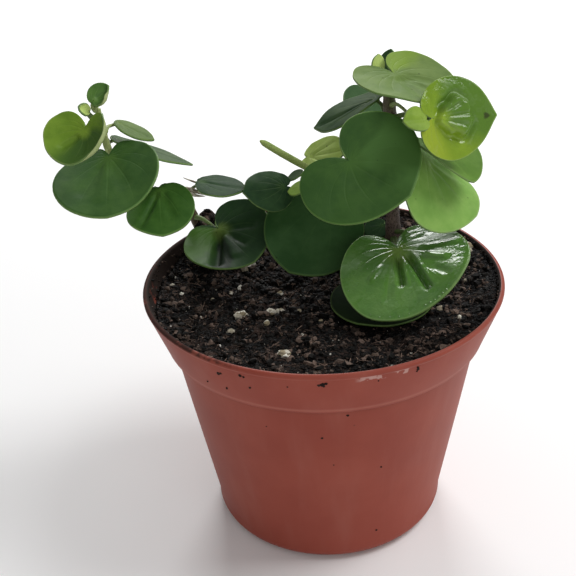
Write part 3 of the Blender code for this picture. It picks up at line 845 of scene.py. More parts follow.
STEMS = {
    "stem_right": [(26, 21, 60, 2.7), (25.6, 21, 78, 2.7), (25, 20, 96, 2.5), (24.4, 20, 121, 2.3),
                   (23.7, 20.5, 140, 2.1), (23.3, 22, 146, 1.6), (23, 23, 148.5, 1.0)],
    "stem_centre": [(0, 32, 60, 1.9), (0.3, 32, 80, 1.9), (0.6, 31.5, 94, 1.8), (0.3, 31, 104, 1.6),
                    (-1.2, 30, 111, 1.3), (-2, 28.5, 116, 0.9)],
    "stem_left": [(-36, 26, 60, 1.8), (-39, 30.5, 80, 1.8), (-44.5, 34.5, 92.5, 1.7), (-46.5, 31, 103, 1.5),
                  (-45.7, 24.5, 110.7, 1.35), (-48.9, 18, 112.9, 1.2), (-52.7, 12.5, 115.8, 1.15),
                  (-57, 9.5, 119, 1.15), (-62, 8, 125, 1.15), (-66.5, 5.2, 133, 1.15),
                  (-67.5, 2.2, 142, 1.05), (-67.6, 0.3, 148, 0.95), (-67.4, -0.2, 150.2, 0.7)],
}
STEM_NODES = {
    "stem_right": [93, 96, 117, 119, 130, 137, 141, 145],
    "stem_centre": [100, 104, 106, 112],
    "stem_left": [97, 111, 117, 130.3, 136, 141, 143, 147],
}


def stem_route(name):
    route = []
    for x, y, z, radius in smooth_route(STEMS[name], 14):
        swell = sum(math.exp(-((z - node) / 1.1) ** 2) for node in STEM_NODES[name])
        rough = noise.noise(Vector((x * 0.5, y * 0.5, z * 0.35)))
        route.append((x, y, z, radius * (1 + 0.10 * min(swell, 1.2) + 0.05 * rough)))
    return route


def bark(name, base, speck, tip, tip_z, low_z):
    """Speckled bark that turns green towards the young end of the stem."""
    finish = Finish(name, Specular_IOR_Level=0.3, Roughness=0.55)
    parts = finish.add("ShaderNodeSeparateXYZ", None, {0: finish.add("ShaderNodeTexCoord").outputs["Object"]})
    z = Wire(finish, parts.outputs[2])
    gap, pick = finish.cells(1900, finish.here((1, 1, 0.6)))
    clouds = finish.noise(260, 3, 0.6)
    young = (z + (clouds - 0.5) * 0.012).between(low_z * MM, tip_z * MM)
    colour = finish.blend(young, base, tip)
    spots = (1 - gap.between(0.25, 0.55)) * (1 - 0.9 * young)
    colour = finish.blend(spots * 0.8, colour, speck)
    colour = finish.blend(pick.between(0.8, 0.95) * 0.35 * (1 - young), colour, (0.30, 0.21, 0.18))
    finish.colour(colour)
    finish.bump(gap * 0.6 + clouds * 0.5, 0.0002, 0.8)
    return finish.material


bark_right = bark("bark_right", (0.150, 0.108, 0.088), (0.030, 0.020, 0.016), (0.150, 0.170, 0.070), 150, 136)
bark_left = bark("bark_left", (0.120, 0.090, 0.055), (0.035, 0.028, 0.018), (0.340, 0.400, 0.150), 126, 106)
for name in STEMS:
    stem = tube(name + "_bark", stem_route(name), sides=5)
    stem.data.materials.append(bark_left if name == "stem_left" else bark_right)
    finish_piece(stem, name)
    print(name, "faces:", len(stem.data.polygons))

# %% [markdown]
# ## The leaves
# Every leaf is the same shape at another size: a round blade with a notch where the stalk joins and a
# short point opposite. It can be written as a distance from the stalk's joint for each angle. Then it
# is cupped, drooped and twisted. The real blade has soft furrows along its veins, which fan out from
# the joint and bend towards the point, so those are pressed into the mesh as well.

# %% The blade's formula
NOTCH_WIDTH = 0.42
NOTCH_FLOOR = 0.06
TIP_LENGTH = 0.10
TIP_WIDTH = 0.17
SPOKE_CROWDING = 0.35
VEIN_BEND = 0.38                 # how strongly the veins bend towards the point
VEIN_SPACING = math.radians(31)
BLADE_THICK = 0.62               # millimetres, the real blade is fleshy
HOOK_LENGTH = 2.5                # millimetres over which a hooked fold leaves the joint
CURL_STEP = 0.02                 # share over which the way out to a rolled margin is measured
SAME_POINT = 0.00002             # millimetres, far below the spacing of the points in a notch
BLADE_GRID = (26, 112)
SMALL_GRID = (14, 60)            # for blades under SMALL_RADIUS
SMALL_RADIUS = 5.0
FINE_GRID = (48, 180)            # for the blades with folds
FINEST_GRID = (76, 320)


def smooth_step(value, low, high):
    t = np.clip((value - low) / (high - low), 0, 1)
    return t * t * (3 - 2 * t)


class Leaf:
    """Where a leaf is, how it is curved, and what its surface looks like.

    at: joint of stalk and blade. turn: heading, pitch and roll in degrees. lobes: how far the joint
    lies from the blade's middle, as a share of the radius. stem, height: where the stalk starts.
    furrow: depth of the furrows along the veins. wave: height of the uneven edge. tip: length of the
    point. folds: furrows of their own, each (angle, start, end, half width, depth), where start and end
    are shares of the way to the edge; a sixth value moves the fold sideways by so many millimetres.
    dome: a raised part, (along, side, radius, height). curl: a rolled-up margin, (angle, half angle,
    share where it starts, bend per millimetre).
    """

    def __init__(self, name, at, turn, radius, lobes, stem, height, finish, width=1.0, droop=0.0, cup=0.0,
                 twist=0.0, skew=0.0, stalk=0.8, bow=(0, 0, 0), lift=0.5, tip=0.10, furrow=0.04, wave=0.2,
                 folds=(), dome=None, curl=None, thick=BLADE_THICK, grid=BLADE_GRID):
        self.name = name
        self.at = Vector(at)
        heading, pitch, roll = [math.radians(value) for value in turn]
        self.turn = Matrix.Rotation(heading, 3, "Z") @ Matrix.Rotation(-pitch, 3, "Y")
        self.turn = self.turn @ Matrix.Rotation(roll, 3, "X")
        self.radius = radius
        self.lobes = lobes
        self.stem = stem
        self.height = height
        self.finish = finish
        self.width = width
        self.droop = droop
        self.cup = cup
        self.twist = twist
        self.skew = skew
        self.stalk = stalk
        self.bow = Vector(bow)
        self.lift = lift
        self.tip = tip
        self.furrow = furrow
        self.wave = wave
        self.folds = folds
        self.dome = dome
        self.curl = curl
        self.thick = thick
        self.grid = SMALL_GRID if radius < SMALL_RADIUS else grid

    def outline(self, angle):
        """Distance from the joint to the blade's edge, angle 0 being the point."""
        a = np.abs(angle)
        reach = self.lobes * np.cos(a) + np.sqrt(1 - (self.lobes * np.sin(a)) ** 2)
        notch = (1 - NOTCH_FLOOR) * np.exp(-((np.pi - a) / NOTCH_WIDTH) ** 2)
        tip = self.tip * np.exp(-a / TIP_WIDTH)
        return self.radius * reach * (1 - notch) * (1 + tip)

    def relief(self, angle, share, seed):
        """Furrows, folds, dome and waves on top of the blade's smooth curve, in millimetres."""
        fan = angle / (1 - VEIN_BEND * share ** 1.5)
        beside = np.abs((fan / VEIN_SPACING + 0.5) % 1 - 0.5) * 2
        swell = 1 - (1 - smooth_step(beside, 0.0, 0.75)) ** 2
        window = smooth_step(share, 0.04, 0.25) * (1 - smooth_step(share, 0.55, 0.97))
        rise = self.furrow * (swell - 0.6) * window
        reach = self.outline(angle) * share
        along = reach * np.cos(angle)
        side = reach * np.sin(angle)
        for turn, start, end, half, depth, *hook in self.folds:
            way = math.radians(turn)
            length = float(self.outline(np.array([way]))[0])
            on = (along * math.cos(way) + side * math.sin(way)) / length
            off = side * math.cos(way) - along * math.sin(way)
            off = off - sum(hook) * (1 - np.exp(-np.maximum(along, 0) / HOOK_LENGTH))
            ends = smooth_step(on, start, start + 0.12) * (1 - smooth_step(on, end - 0.12, end))
            rise -= depth * ends * np.exp(-np.abs(off / half) ** 3)
        if self.dome:
            middle_along, middle_side, size, height = self.dome
            away = np.hypot(along - middle_along, side - middle_side) / size
            way = np.arctan2(side - middle_side, along - middle_along)
            away = away * (1 + 0.10 * np.sin(3 * way + 1.0) + 0.05 * np.sin(7 * way))
            rise += height * (1 - smooth_step(away, 0.74, 1.0))
            rise -= height * 0.35 * np.sin(way - 0.5) ** 2 * np.exp(-((away - 1.10) / 0.14) ** 2)
        edge = np.sin(3 * angle + seed) + 0.6 * np.sin(7 * angle + 2.3 * seed) + 0.3 * np.sin(13 * angle)
        return rise + self.wave * edge * share ** 3

    def surface(self, angle, share, seed):
        """Points of the blade's middle layer in its own frame, in millimetres."""
        points = self.smooth_surface(angle, share, seed)
        if not self.curl:
            return points
        middle, half, start, bend = self.curl
        away = (angle - math.radians(middle) + np.pi) % (2 * np.pi) - np.pi
        weight = np.exp(-(away / math.radians(half)) ** 4)
        inner = np.clip(share, CURL_STEP, start)
        root = self.smooth_surface(angle, inner, seed)
        outward = root - self.smooth_surface(angle, inner - CURL_STEP, seed)
        outward /= np.linalg.norm(outward, axis=1)[:, None] + 1e-9
        around = np.stack([-np.sin(angle), np.cos(angle), 0 * angle], axis=1)
        above = np.cross(outward, around)
        above /= np.linalg.norm(above, axis=1)[:, None] + 1e-9
        strip = self.outline(angle) * (share - inner)
        turn = bend * weight + 0.001
        wound = root + outward * (np.sin(turn * strip) / turn)[:, None]
        wound += above * ((1 - np.cos(turn * strip)) / turn)[:, None]
        return points + (wound - points) * (weight * (share > start))[:, None]

    def smooth_surface(self, angle, share, seed):
        """The blade without its rolled-up margin."""
        reach = self.outline(angle) * share
        side = reach * np.sin(angle) * self.width
        along = reach * np.cos(angle) + self.skew * side
        length = self.radius * (1 + self.lobes)
        bend = self.droop * along * np.abs(along) / length
        bend = np.where(along < 0, 0.3 * self.droop * along * along / length, bend)
        rise = bend + self.cup * side * side / length + self.twist * along * side / length
        return np.stack([along, side, rise + self.relief(angle, share, seed)], axis=1)


# %% [markdown]
# The list below says where each leaf is. The places follow the solids, one leaf for one solid.

# %% The leaves of this plant
LEAVES = [
    Leaf("leaf_front_large", (9.5, -8, 133), (-10, -34, 52), 15.8, 0.25, "stem_right", 117, "deep",
         width=1.3, droop=0.24, cup=0.06, twist=-0.24, skew=0.15, stalk=1.0, tip=0.06,
         folds=[(-30, 0.0, 0.5, 2.5, 0.25)]),
    Leaf("leaf_low_right", (25, 0, 98), (-80, -11, 11), 21.9, 0.46, "stem_right", 93, "wet", width=0.97,
         cup=0.12, twist=0.35, skew=-0.02, stalk=1.0, tip=0.0, wave=0.35, grid=FINEST_GRID,
         folds=[(-10, 0.04, 0.60, 1.25, 2.2), (-3, 0.06, 0.60, 0.8, -0.5), (6, 0.06, 0.80, 1.25, 2.2, 2.2),
                (4, 0.10, 0.78, 0.8, -0.5, 4.1), (-50, 0.30, 0.66, 1.0, -0.7), (47, 0.34, 0.76, 1.4, -0.9),
                (70, 0.30, 0.97, 1.2, -0.7), (30, 0.50, 0.88, 1.2, 0.5), (-24, 0.2, 0.8, 1.6, 0.3)]),
    Leaf("leaf_centre_low", (3.5, 22, 107), (-127, -37, -23), 17.1, 0.72, "stem_centre", 100, "dark",
         droop=0.05, cup=-0.07, twist=-0.03, tip=0.04),
    Leaf("leaf_left_cupped", (-36, 24, 96), (-53, -11, 25), 15.4, 0.40, "stem_left", 97, "painted_lit_and_shaded",
         width=1.02, cup=0.30, twist=-0.12, tip=0.03, grid=FINE_GRID,
         folds=[(-36, 0.05, 0.98, 1.9, 2.2), (-10, 0.1, 0.8, 1.8, -0.5), (12, 0.1, 0.7, 1.2, 0.7),
                (45, 0.1, 0.8, 1.4, 0.6)]),
    Leaf("leaf_centre_left", (-12, 19, 113.5), (-162, -1, -28), 8.4, 0.60, "stem_centre", 112, "darkest",
         width=1.02, droop=0.06, cup=-0.23, twist=-0.07, stalk=0.6),
    Leaf("leaf_left_node", (-41, 20.7, 115.8), (-14, -9, 0), 8.0, 0.90, "stem_left", 111, "darkest",
         droop=0.03, cup=-0.03, twist=0.04, stalk=0.6, folds=[(0, 0.0, 1.0, 0.9, 0.25)]),
    Leaf("leaf_left_third", (-52.5, 6, 120), (-82, -20, 18), 11.0, 0.85, "stem_left", 117, "mid",
         twist=-0.35, stalk=0.7, tip=0.05, grid=FINE_GRID,
         folds=[(-22, 0.05, 1.0, 1.1, 0.9), (14, 0.1, 0.8, 1.6, 0.5)]),
    Leaf("leaf_left_large", (-66, -1, 134.5), (-85, -20, 13), 16.4, 0.61, "stem_left", 130.3, "dark_fresh",
         width=1.03, cup=0.19, twist=-0.15, lift=0.0, tip=0.02,
         folds=[(-7, 0.05, 0.8, 1.5, -0.3), (-28, 0.1, 0.8, 2.0, 0.3), (20, 0.1, 0.7, 2.2, 0.3)]),
    Leaf("leaf_left_yellow", (-70.5, -9, 146.5), (-103, -54, 11), 9.6, 0.25, "stem_left", 143, "young_folded",
         width=1.2, droop=0.42, cup=0.45, twist=0.04, skew=0.04, stalk=0.6, tip=0.0, grid=FINE_GRID,
         folds=[(-40, 0.15, 0.80, 1.0, 0.8), (10, 0.2, 0.8, 1.2, 0.4)], curl=(72, 62, 0.84, 1.15)),
    Leaf("leaf_left_top", (-68.5, -1, 153), (32, 33, 39), 4.0, 0.70, "stem_left", 150, "fresh",
         droop=-0.06, cup=0.08, stalk=0.9, wave=0.1, folds=[(-10, 0.1, 0.9, 1.0, 0.6)],
         curl=(-70, 75, 0.60, 1.3)),
    Leaf("leaf_left_bud", (-70.5, -1.5, 150), (195, 30, -50), 2.1, 0.60, "stem_left", 147, "young_pale",
         cup=0.6, stalk=1.0, furrow=0.02, wave=0.05, curl=(0, 80, 0.6, 0.9)),
    Leaf("leaf_left_narrow_upper", (-64.5, 10, 142), (-6, -27, -8), 6.4, 0.90, "stem_left", 141, "olive",
         cup=-0.03, twist=0.02, stalk=0.7, wave=0.1, folds=[(0, 0.0, 1.0, 1.0, 0.22)]),
    Leaf("leaf_left_narrow_lower", (-66.5, 14, 135), (0, -23, -16), 13.0, 0.88, "stem_left", 136, "grey",
         stalk=0.7, wave=0.15, folds=[(0, 0.0, 1.0, 1.0, 0.35)]),
    Leaf("leaf_top", (25.5, 20, 151), (-47, -15, 0), 17.7, 0.29, "stem_right", 147, "sage", droop=0.05,
         cup=0.08, twist=-0.20, skew=-0.02, stalk=0.9, tip=0.06, grid=FINE_GRID,
         folds=[(-16, 0.05, 0.9, 1.6, 0.5), (12, 0.05, 0.9, 1.6, 0.55), (38, 0.1, 0.9, 1.8, 0.5),
                (-50, 0.1, 0.8, 2.2, 0.25)]),
    Leaf("leaf_right_ribbed", (35.5, -4, 144.5), (24, -8, 64), 12.5, 0.55, "stem_right", 137, "young_wet",
         width=1.04, droop=0.07, cup=-0.18, twist=0.02, skew=0.07, bow=(4, 0, 1), tip=0.13, grid=FINE_GRID,
         folds=[(-34, 0.05, 0.58, 0.7, 0.45), (-14, 0.05, 0.60, 0.7, 0.5), (5, 0.05, 0.62, 0.7, 0.5),
                (26, 0.05, 0.60, 0.7, 0.5), (46, 0.05, 0.52, 0.7, 0.4), (3, 0.60, 0.95, 0.9, 0.15)],
         dome=(7.1, 0.2, 6.1, 2.2)),
    Leaf("leaf_right_young", (32.5, -6, 145), (-144, 16, -42), 4.2, 0.70, "stem_right", 141, "young",
         bow=(-1, 0, 1), droop=-0.2, cup=0.3, twist=-0.2, stalk=0.6, wave=0.1,
         folds=[(0, 0.0, 1.0, 0.8, 0.5)]),
    Leaf("leaf_right_hanging", (34, 9, 126.5), (-17, -43, -2), 18.1, 0.40, "stem_right", 119, "bright",
         width=1.05, droop=-0.07, cup=-0.45, twist=0.35, skew=-0.04, tip=0.03, grid=FINE_GRID,
         folds=[(0, 0.05, 0.95, 1.2, 0.6), (-24, 0.1, 0.8, 1.8, 0.3), (26, 0.1, 0.8, 1.8, 0.4)]),
    Leaf("leaf_right_rear", (36, 12, 130.5), (-45, -13, -9), 12.5, 0.59, "stem_right", 131, "fresh_mid",
         bow=(0, 0, 2), width=1.02, droop=-0.19, cup=0.36, twist=-0.09, tip=0.03,
         folds=[(0, 0.05, 0.95, 1.2, 0.4)]),
    Leaf("leaf_rear_upper", (21, 50, 131), (-148, 15, -32), 8.1, 0.62, "stem_right", 130, "dark",
         stalk=0.7),
    Leaf("leaf_rear_narrow", (19.5, 29, 140), (169, -28, 5), 13.6, 0.61, "stem_right", 137, "grey_dark",
         width=0.81, cup=0.08, twist=-0.34, folds=[(0, 0.0, 1.0, 1.3, 1.1), (18, 0.1, 0.9, 1.2, -0.4)]),
    Leaf("leaf_centre_rolled", (-3.3, 41.5, 115), (-34, 20, 37), 9.5, 0.66, "stem_centre", 104, "young_pale",
         width=0.75, cup=0.04, twist=0.13, stalk=0.55,
         folds=[(-30, 0.0, 0.9, 0.8, 0.6), (0, 0.0, 0.9, 0.8, 0.6), (30, 0.0, 0.9, 0.8, 0.6)]),
    Leaf("leaf_centre_small_dark", (-6, 30, 114), (179, -27, -4), 3.0, 0.83, "stem_centre", 106,
         "grey_dark", cup=0.1, stalk=0.45, wave=0.05),
    Leaf("leaf_centre_small_young", (-5.5, 13, 116), (164, -25, -20), 3.4, 0.61, "stem_centre", 113.5,
         "young", stalk=0.45, wave=0.05),
    Leaf("leaf_top_sheath", (20.5, 28, 149.5), (97, 72, 36), 3.0, 0.78, "stem_right", 145, "young_pale",
         droop=0.08, twist=0.05, stalk=0.45, wave=0.05),
    Leaf("leaf_top_rear", (23, 34, 148), (46, 62, -10), 4.1, 0.64, "stem_right", 143, "dark", stalk=0.5,
         wave=0.1),
    Leaf("leaf_rear_low", (22, 26, 94.5), (-150, -14, -25), 4.4, 0.64, "stem_right", 91, "darkest",
         stalk=0.5, wave=0.1),
    Leaf("leaf_on_soil", (24, 2, 83), (-120, -1, 0), 17.0, 0.55, "stem_right", 96, "shaded",
         bow=(9, 2, 3), lift=0.1, stalk=0.7, tip=0.02),
]
print("leaves:", len(LEAVES))

# %% [markdown]
# ## The leaves' finishes
# Each blade carries a map made for it: across is the angle round the stalk's joint, up is the way from
# the joint to the edge. So the veins are lines of the same formula that pressed the furrows, the pale
# margin is the top end of the map, and the glow round the joint is its bottom end.

# %% Veins and margin
def leaf_finish(name, deep, light, joint, edge, roughness=0.45, veins=0.15, glow=0.6, wet=0.0,
                specular=0.3, dark_part=None, paler_part=None, spot=None):
    """A leaf's upper side. deep and light are mixed over the blade, joint glows round the stalk, edge is
    the colour of veins and margin. The dark and the paler part are each (angle, half angle, colour) of a
    side of the blade in another colour; on leaf_front_large the paler part is painted light, and on
    leaf_left_cupped the dark part is a painted shadow and the paler part painted light. spot: (angle,
    share, size) of a brown spot."""
    finish = Finish(name, Specular_IOR_Level=specular)
    parts = finish.add("ShaderNodeSeparateXYZ", None, {0: finish.add("ShaderNodeUVMap").outputs[0]})
    angle = (Wire(finish, parts.outputs[0]) - 0.5) * (2 * math.pi)
    share = Wire(finish, parts.outputs[1])
    fan = angle / (1 - VEIN_BEND * share ** 1.5)
    beside = abs((fan / VEIN_SPACING + 100.5).fraction() - 0.5) * VEIN_SPACING * share
    line = (1 - beside.between(0.004, 0.022)) * (1 - share.between(0.45, 0.95)) * share.between(0.02, 0.15)
    branch = abs((fan / (VEIN_SPACING / 5) + 100.5).fraction() - 0.5) * share
    branch = (1 - branch.between(0.02, 0.12)) * share.between(0.3, 0.6) * (1 - share.between(0.85, 0.99))
    clouds = finish.noise(95, 3, 0.55)
    fine = finish.noise(1300, 3, 0.6)
    mottled = finish.noise(420, 3, 0.6)
    colour = finish.blend((clouds * 0.7 + mottled * 0.3).between(0.34, 0.68), deep, light)
    for part in (dark_part, paler_part):
        if part:
            middle, half, shade = part
            away = abs(angle - math.radians(middle) + (clouds - 0.5) * 0.8)
            mask = 1 - away.between(math.radians(half) * 0.6, math.radians(half) * 1.2)
            mask = mask * share.between(0.05, 0.3)
            colour = finish.blend(mask, colour, shade)
    colour = finish.blend((1 - share.between(0.0, 0.34)) * glow, colour, joint)
    colour = finish.blend(line * veins, colour, edge)
    colour = finish.blend(branch * veins * 0.2, colour, edge)
    colour = finish.blend(share.between(0.972, 0.992) * 0.5, colour, edge)
    gap, pick = finish.cells(330)
    speck = (1 - gap.between(0.05, 0.12)) * pick.between(0.86, 0.88)
    colour = finish.blend(speck * 0.75, colour, (0.012, 0.014, 0.006))
    if spot:
        middle, height, size = spot
        aside = (angle - math.radians(middle)) * share
        off = (aside ** 2 + (share - height) ** 2) ** 0.5 + (mottled - 0.5) * size
        colour = finish.blend((1 - off.between(size * 0.5, size * 1.1)) * 0.8, colour, (0.030, 0.032, 0.012))
    finish.colour(colour)
    film = finish.noise(110, 3, 0.6).between(0.40, 0.52) * wet
    finish.roughness((roughness + 0.12 * fine) * (1 - 0.75 * film))
    ripples = finish.noise(520, 2, 0.5) * wet
    finish.bump(fine * 0.08 + mottled * 0.3 + clouds * 0.4 - line * 0.3 + ripples * 1.2, 0.0004, 0.4)
    return finish.material


def plain_green(name, colour, pale, roughness):
    """Undersides, margins and stalks: an even green with a little cloud in it."""
    finish = Finish(name, Specular_IOR_Level=0.3, Roughness=roughness)
    clouds = finish.noise(160, 3, 0.6)
    fine = finish.noise(1200, 2, 0.6)
    finish.colour(finish.blend((clouds * 0.7 + fine * 0.3).between(0.3, 0.7), colour, pale))
    finish.bump(fine, 0.0002, 0.3)
    return finish.material


FINISHES = {
    # leaf_front_large: the paler part on its right side is painted light, where the lamps leave that side
    # darker.
    "deep": leaf_finish("leaf_deep", (0.023, 0.070, 0.010), (0.037, 0.096, 0.015), (0.060, 0.140, 0.020),
                        (0.14, 0.27, 0.06), 0.5, veins=0.04, glow=0.4, specular=0.18,
                        paler_part=(48, 42, (0.052, 0.128, 0.024))),
    "wet": leaf_finish("leaf_wet", (0.070, 0.178, 0.030), (0.110, 0.235, 0.048), (0.230, 0.330, 0.070),
                       (0.22, 0.36, 0.11), 0.34, veins=0.08, wet=1.0, specular=0.42),
    "dark": leaf_finish("leaf_dark", (0.024, 0.074, 0.018), (0.042, 0.104, 0.030), (0.056, 0.125, 0.028),
                        (0.12, 0.22, 0.06), 0.5, veins=0.05, specular=0.15, glow=0.3),
    "darkest": leaf_finish("leaf_darkest", (0.014, 0.040, 0.016), (0.030, 0.070, 0.024),
                           (0.045, 0.100, 0.022), (0.13, 0.20, 0.08), 0.5, veins=0.15, specular=0.05),
    "shaded": leaf_finish("leaf_shaded", (0.006, 0.014, 0.005), (0.012, 0.024, 0.008),
                          (0.018, 0.035, 0.010), (0.06, 0.09, 0.03), 0.7, specular=0.02),
    # leaf_left_cupped: lit and shaded copies of one green. The dark greens are painted shade over the rest of
    # the blade, the dark part is a painted shadow along the fold, and the paler part is the left lobe painted
    # as lit.
    "painted_lit_and_shaded": leaf_finish("leaf_two_greens", (0.010, 0.034, 0.010), (0.018, 0.052, 0.014),
                              (0.160, 0.240, 0.040), (0.10, 0.18, 0.05), 0.55, veins=0.10, wet=0.25,
                              specular=0.15, dark_part=(-28, 16, (0.004, 0.014, 0.004)),
                              paler_part=(-100, 52, (0.060, 0.150, 0.018))),
    "dark_fresh": leaf_finish("leaf_dark_fresh", (0.030, 0.085, 0.016), (0.052, 0.122, 0.024),
                              (0.080, 0.165, 0.026), (0.15, 0.28, 0.08), 0.5, veins=0.06, specular=0.15),
    "mid": leaf_finish("leaf_mid", (0.028, 0.086, 0.012), (0.050, 0.126, 0.020), (0.080, 0.170, 0.028),
                       (0.16, 0.30, 0.07), 0.5, veins=0.07, specular=0.12),
    "fresh": leaf_finish("leaf_fresh", (0.045, 0.125, 0.018), (0.085, 0.190, 0.028), (0.120, 0.240, 0.040),
                         (0.30, 0.42, 0.13), 0.42),
    "sage": leaf_finish("leaf_sage", (0.115, 0.190, 0.046), (0.160, 0.240, 0.064), (0.170, 0.260, 0.050),
                        (0.24, 0.33, 0.09), 0.55, veins=0.08, specular=0.12, glow=0.3,
                        paler_part=(150, 50, (0.190, 0.300, 0.036))),
    "bright": leaf_finish("leaf_bright", (0.170, 0.340, 0.060), (0.240, 0.420, 0.090),
                          (0.230, 0.390, 0.070), (0.34, 0.48, 0.18), 0.5, veins=0.12, specular=0.2),
    "fresh_mid": leaf_finish("leaf_fresh_mid", (0.088, 0.190, 0.022), (0.128, 0.250, 0.036),
                             (0.140, 0.270, 0.036), (0.24, 0.37, 0.12), 0.5, veins=0.12, specular=0.15),
    "olive": leaf_finish("leaf_olive", (0.080, 0.140, 0.030), (0.120, 0.190, 0.044), (0.150, 0.220, 0.050),
                         (0.24, 0.32, 0.09), 0.5, specular=0.08),
    "grey": leaf_finish("leaf_grey", (0.045, 0.088, 0.034), (0.080, 0.125, 0.052), (0.095, 0.150, 0.058),
                        (0.22, 0.30, 0.12), 0.5, specular=0.06),
    "grey_dark": leaf_finish("leaf_grey_dark", (0.024, 0.054, 0.022), (0.052, 0.092, 0.038),
                             (0.080, 0.125, 0.050), (0.18, 0.25, 0.10), 0.5, veins=0.3, specular=0.04),
    "young": leaf_finish("leaf_young", (0.170, 0.290, 0.024), (0.240, 0.370, 0.045), (0.260, 0.400, 0.050),
                         (0.38, 0.48, 0.15), 0.45, veins=0.12, specular=0.2),
    "young_pale": leaf_finish("leaf_young_pale", (0.400, 0.540, 0.120), (0.500, 0.640, 0.190),
                              (0.480, 0.620, 0.160), (0.62, 0.70, 0.36), 0.5, veins=0.3, specular=0.1),
    "young_folded": leaf_finish("leaf_young_folded", (0.120, 0.225, 0.016), (0.180, 0.300, 0.026),
                                (0.240, 0.380, 0.036), (0.36, 0.46, 0.14), 0.45, veins=0.08,
                                specular=0.2, dark_part=(35, 75, (0.055, 0.125, 0.018))),
    "young_wet": leaf_finish("leaf_young_wet", (0.165, 0.280, 0.016), (0.225, 0.345, 0.026),
                             (0.260, 0.390, 0.030), (0.26, 0.40, 0.09), 0.30, veins=0.06, wet=0.9,
                             specular=0.33, dark_part=(22, 50, (0.095, 0.195, 0.022)),
                             paler_part=(-140, 80, (0.300, 0.400, 0.030)), spot=(0, 0.84, 0.055)),
}
UNDERSIDE = plain_green("leaf_underside", (0.120, 0.190, 0.070), (0.190, 0.270, 0.110), 0.6)
PALE_UNDERSIDE = plain_green("leaf_pale_underside", (0.300, 0.370, 0.150), (0.400, 0.450, 0.200), 0.6)
MARGIN = plain_green("leaf_margin", (0.100, 0.190, 0.045), (0.170, 0.270, 0.075), 0.5)
STALK = plain_green("leaf_stalk", (0.080, 0.130, 0.035), (0.150, 0.210, 0.065), 0.55)
PALE_STALK = plain_green("leaf_pale_stalk", (0.230, 0.300, 0.100), (0.320, 0.380, 0.150), 0.55)
PALE_BELOW = ("young", "young_folded", "fresh", "olive")
print("finishes:", len(FINISHES))

# %% [markdown]
# ## Making a leaf
# The blade is a round grid laid out by the formula. Solidify gives it its fleshy thickness and puts the
# underside and the margin into slots of their own. The stalk is a tube that leaves the stem, bends, and
# meets the blade from below.

# %% The stalk's curve
STALK_REACH = 0.38
STALK_STEPS = 14


def stem_point(name, height):
    """Centre, direction and radius of a stem at a height."""
    route = smooth_route(STEMS[name], 8)
    below = max(k for k in range(len(route) - 1) if route[k][2] <= height)
    low, high = route[below], route[below + 1]
    t = min(1.0, (height - low[2]) / (high[2] - low[2]))
    x, y, z, radius = [a + (b - a) * t for a, b in zip(low, high)]
    along = Vector(high[:3]) - Vector(low[:3])
    return Vector((x, y, z)), along.normalized(), radius


def stalk_route(leaf):
    centre, along, radius = stem_point(leaf.stem, leaf.height)
    tip_way = leaf.turn @ Vector((1, 0, 0))
    face = leaf.turn @ Vector((0, 0, 1))
    joint = leaf.at - face * (leaf.thick / 2 + 0.25)
    out = joint + leaf.bow - centre
    out = (out - along * out.dot(along)).normalized()
    start = centre + out * (radius + ROOM + 0.1)
    leave = (out + Vector((0, 0, leaf.lift))).normalized()
    arrive = (tip_way * 0.6 + face * 0.8).normalized()
    reach = (joint - start).length * STALK_REACH
    first = start + leave * reach + leaf.bow
    second = joint - arrive * reach + leaf.bow * 0.5
    root = centre + out * radius * 0.4
    route = [(*root, leaf.stalk * 1.5), (*(centre + out * (radius + 0.1)), leaf.stalk * 1.35)]
    for k in range(STALK_STEPS + 1):
        t = k / STALK_STEPS
        u = 1 - t
        point = start * u ** 3 + first * 3 * u * u * t + second * 3 * u * t * t + joint * t ** 3
        swell = 1 + 0.25 * math.exp(-t / 0.08)
        route.append((*point, leaf.stalk * (1 - 0.25 * t) * swell))
    end = joint + tip_way * leaf.radius * 0.10 - face * 0.1
    route.append((*end, leaf.stalk * 0.2))
    return route


# %% Blade and stalk together
def blade(leaf, seed):
    part, share, turn = round_grid(leaf.name + "_blade", *leaf.grid)
    angle = np.pi * turn + SPOKE_CROWDING * np.sin(np.pi * turn)
    set_points(part, leaf.surface(angle, share, seed))
    corners = np.empty(len(part.data.loops), int)
    part.data.loops.foreach_get("vertex_index", corners)
    across = angle[corners] / (2 * np.pi) + 0.5
    part.data.uv_layers[0].data.foreach_set("uv", np.stack([across, share[corners]], axis=1).ravel())
    close_grid(part, SAME_POINT)
    set_points(part, points_of(part) * MM)
    if sum(face.normal.z * face.area for face in part.data.polygons) < 0:
        edit(part)
        bpy.ops.mesh.flip_normals()
        object_mode()
    part.matrix_world = Matrix.Translation(leaf.at * MM) @ leaf.turn.to_4x4()
    apply_place(part)
    pale = leaf.finish in PALE_BELOW
    for material in (FINISHES[leaf.finish], PALE_UNDERSIDE if pale else UNDERSIDE, MARGIN):
        part.data.materials.append(material)
    apply_modifier(part, "SOLIDIFY", thickness=leaf.thick * MM, offset=0.0, material_offset=1,
                   material_offset_rim=2)
    return part


faces = 0
for k, leaf in enumerate(LEAVES):
    part = blade(leaf, 1.7 * k)
    stalk = tube(leaf.name + "_stalk", stalk_route(leaf), sides=4)
    stalk.data.materials.append(PALE_STALK if leaf.finish in PALE_BELOW else STALK)
    part = join(part, stalk)
    finish_piece(part, leaf.name)
    faces += len(part.data.polygons)
print("leaf faces:", faces)

# %% [markdown]
# Where the left stem bends, dry scraps of a dead leaf's sheath still hang on. They are thin twisted
# strips, pale as straw.

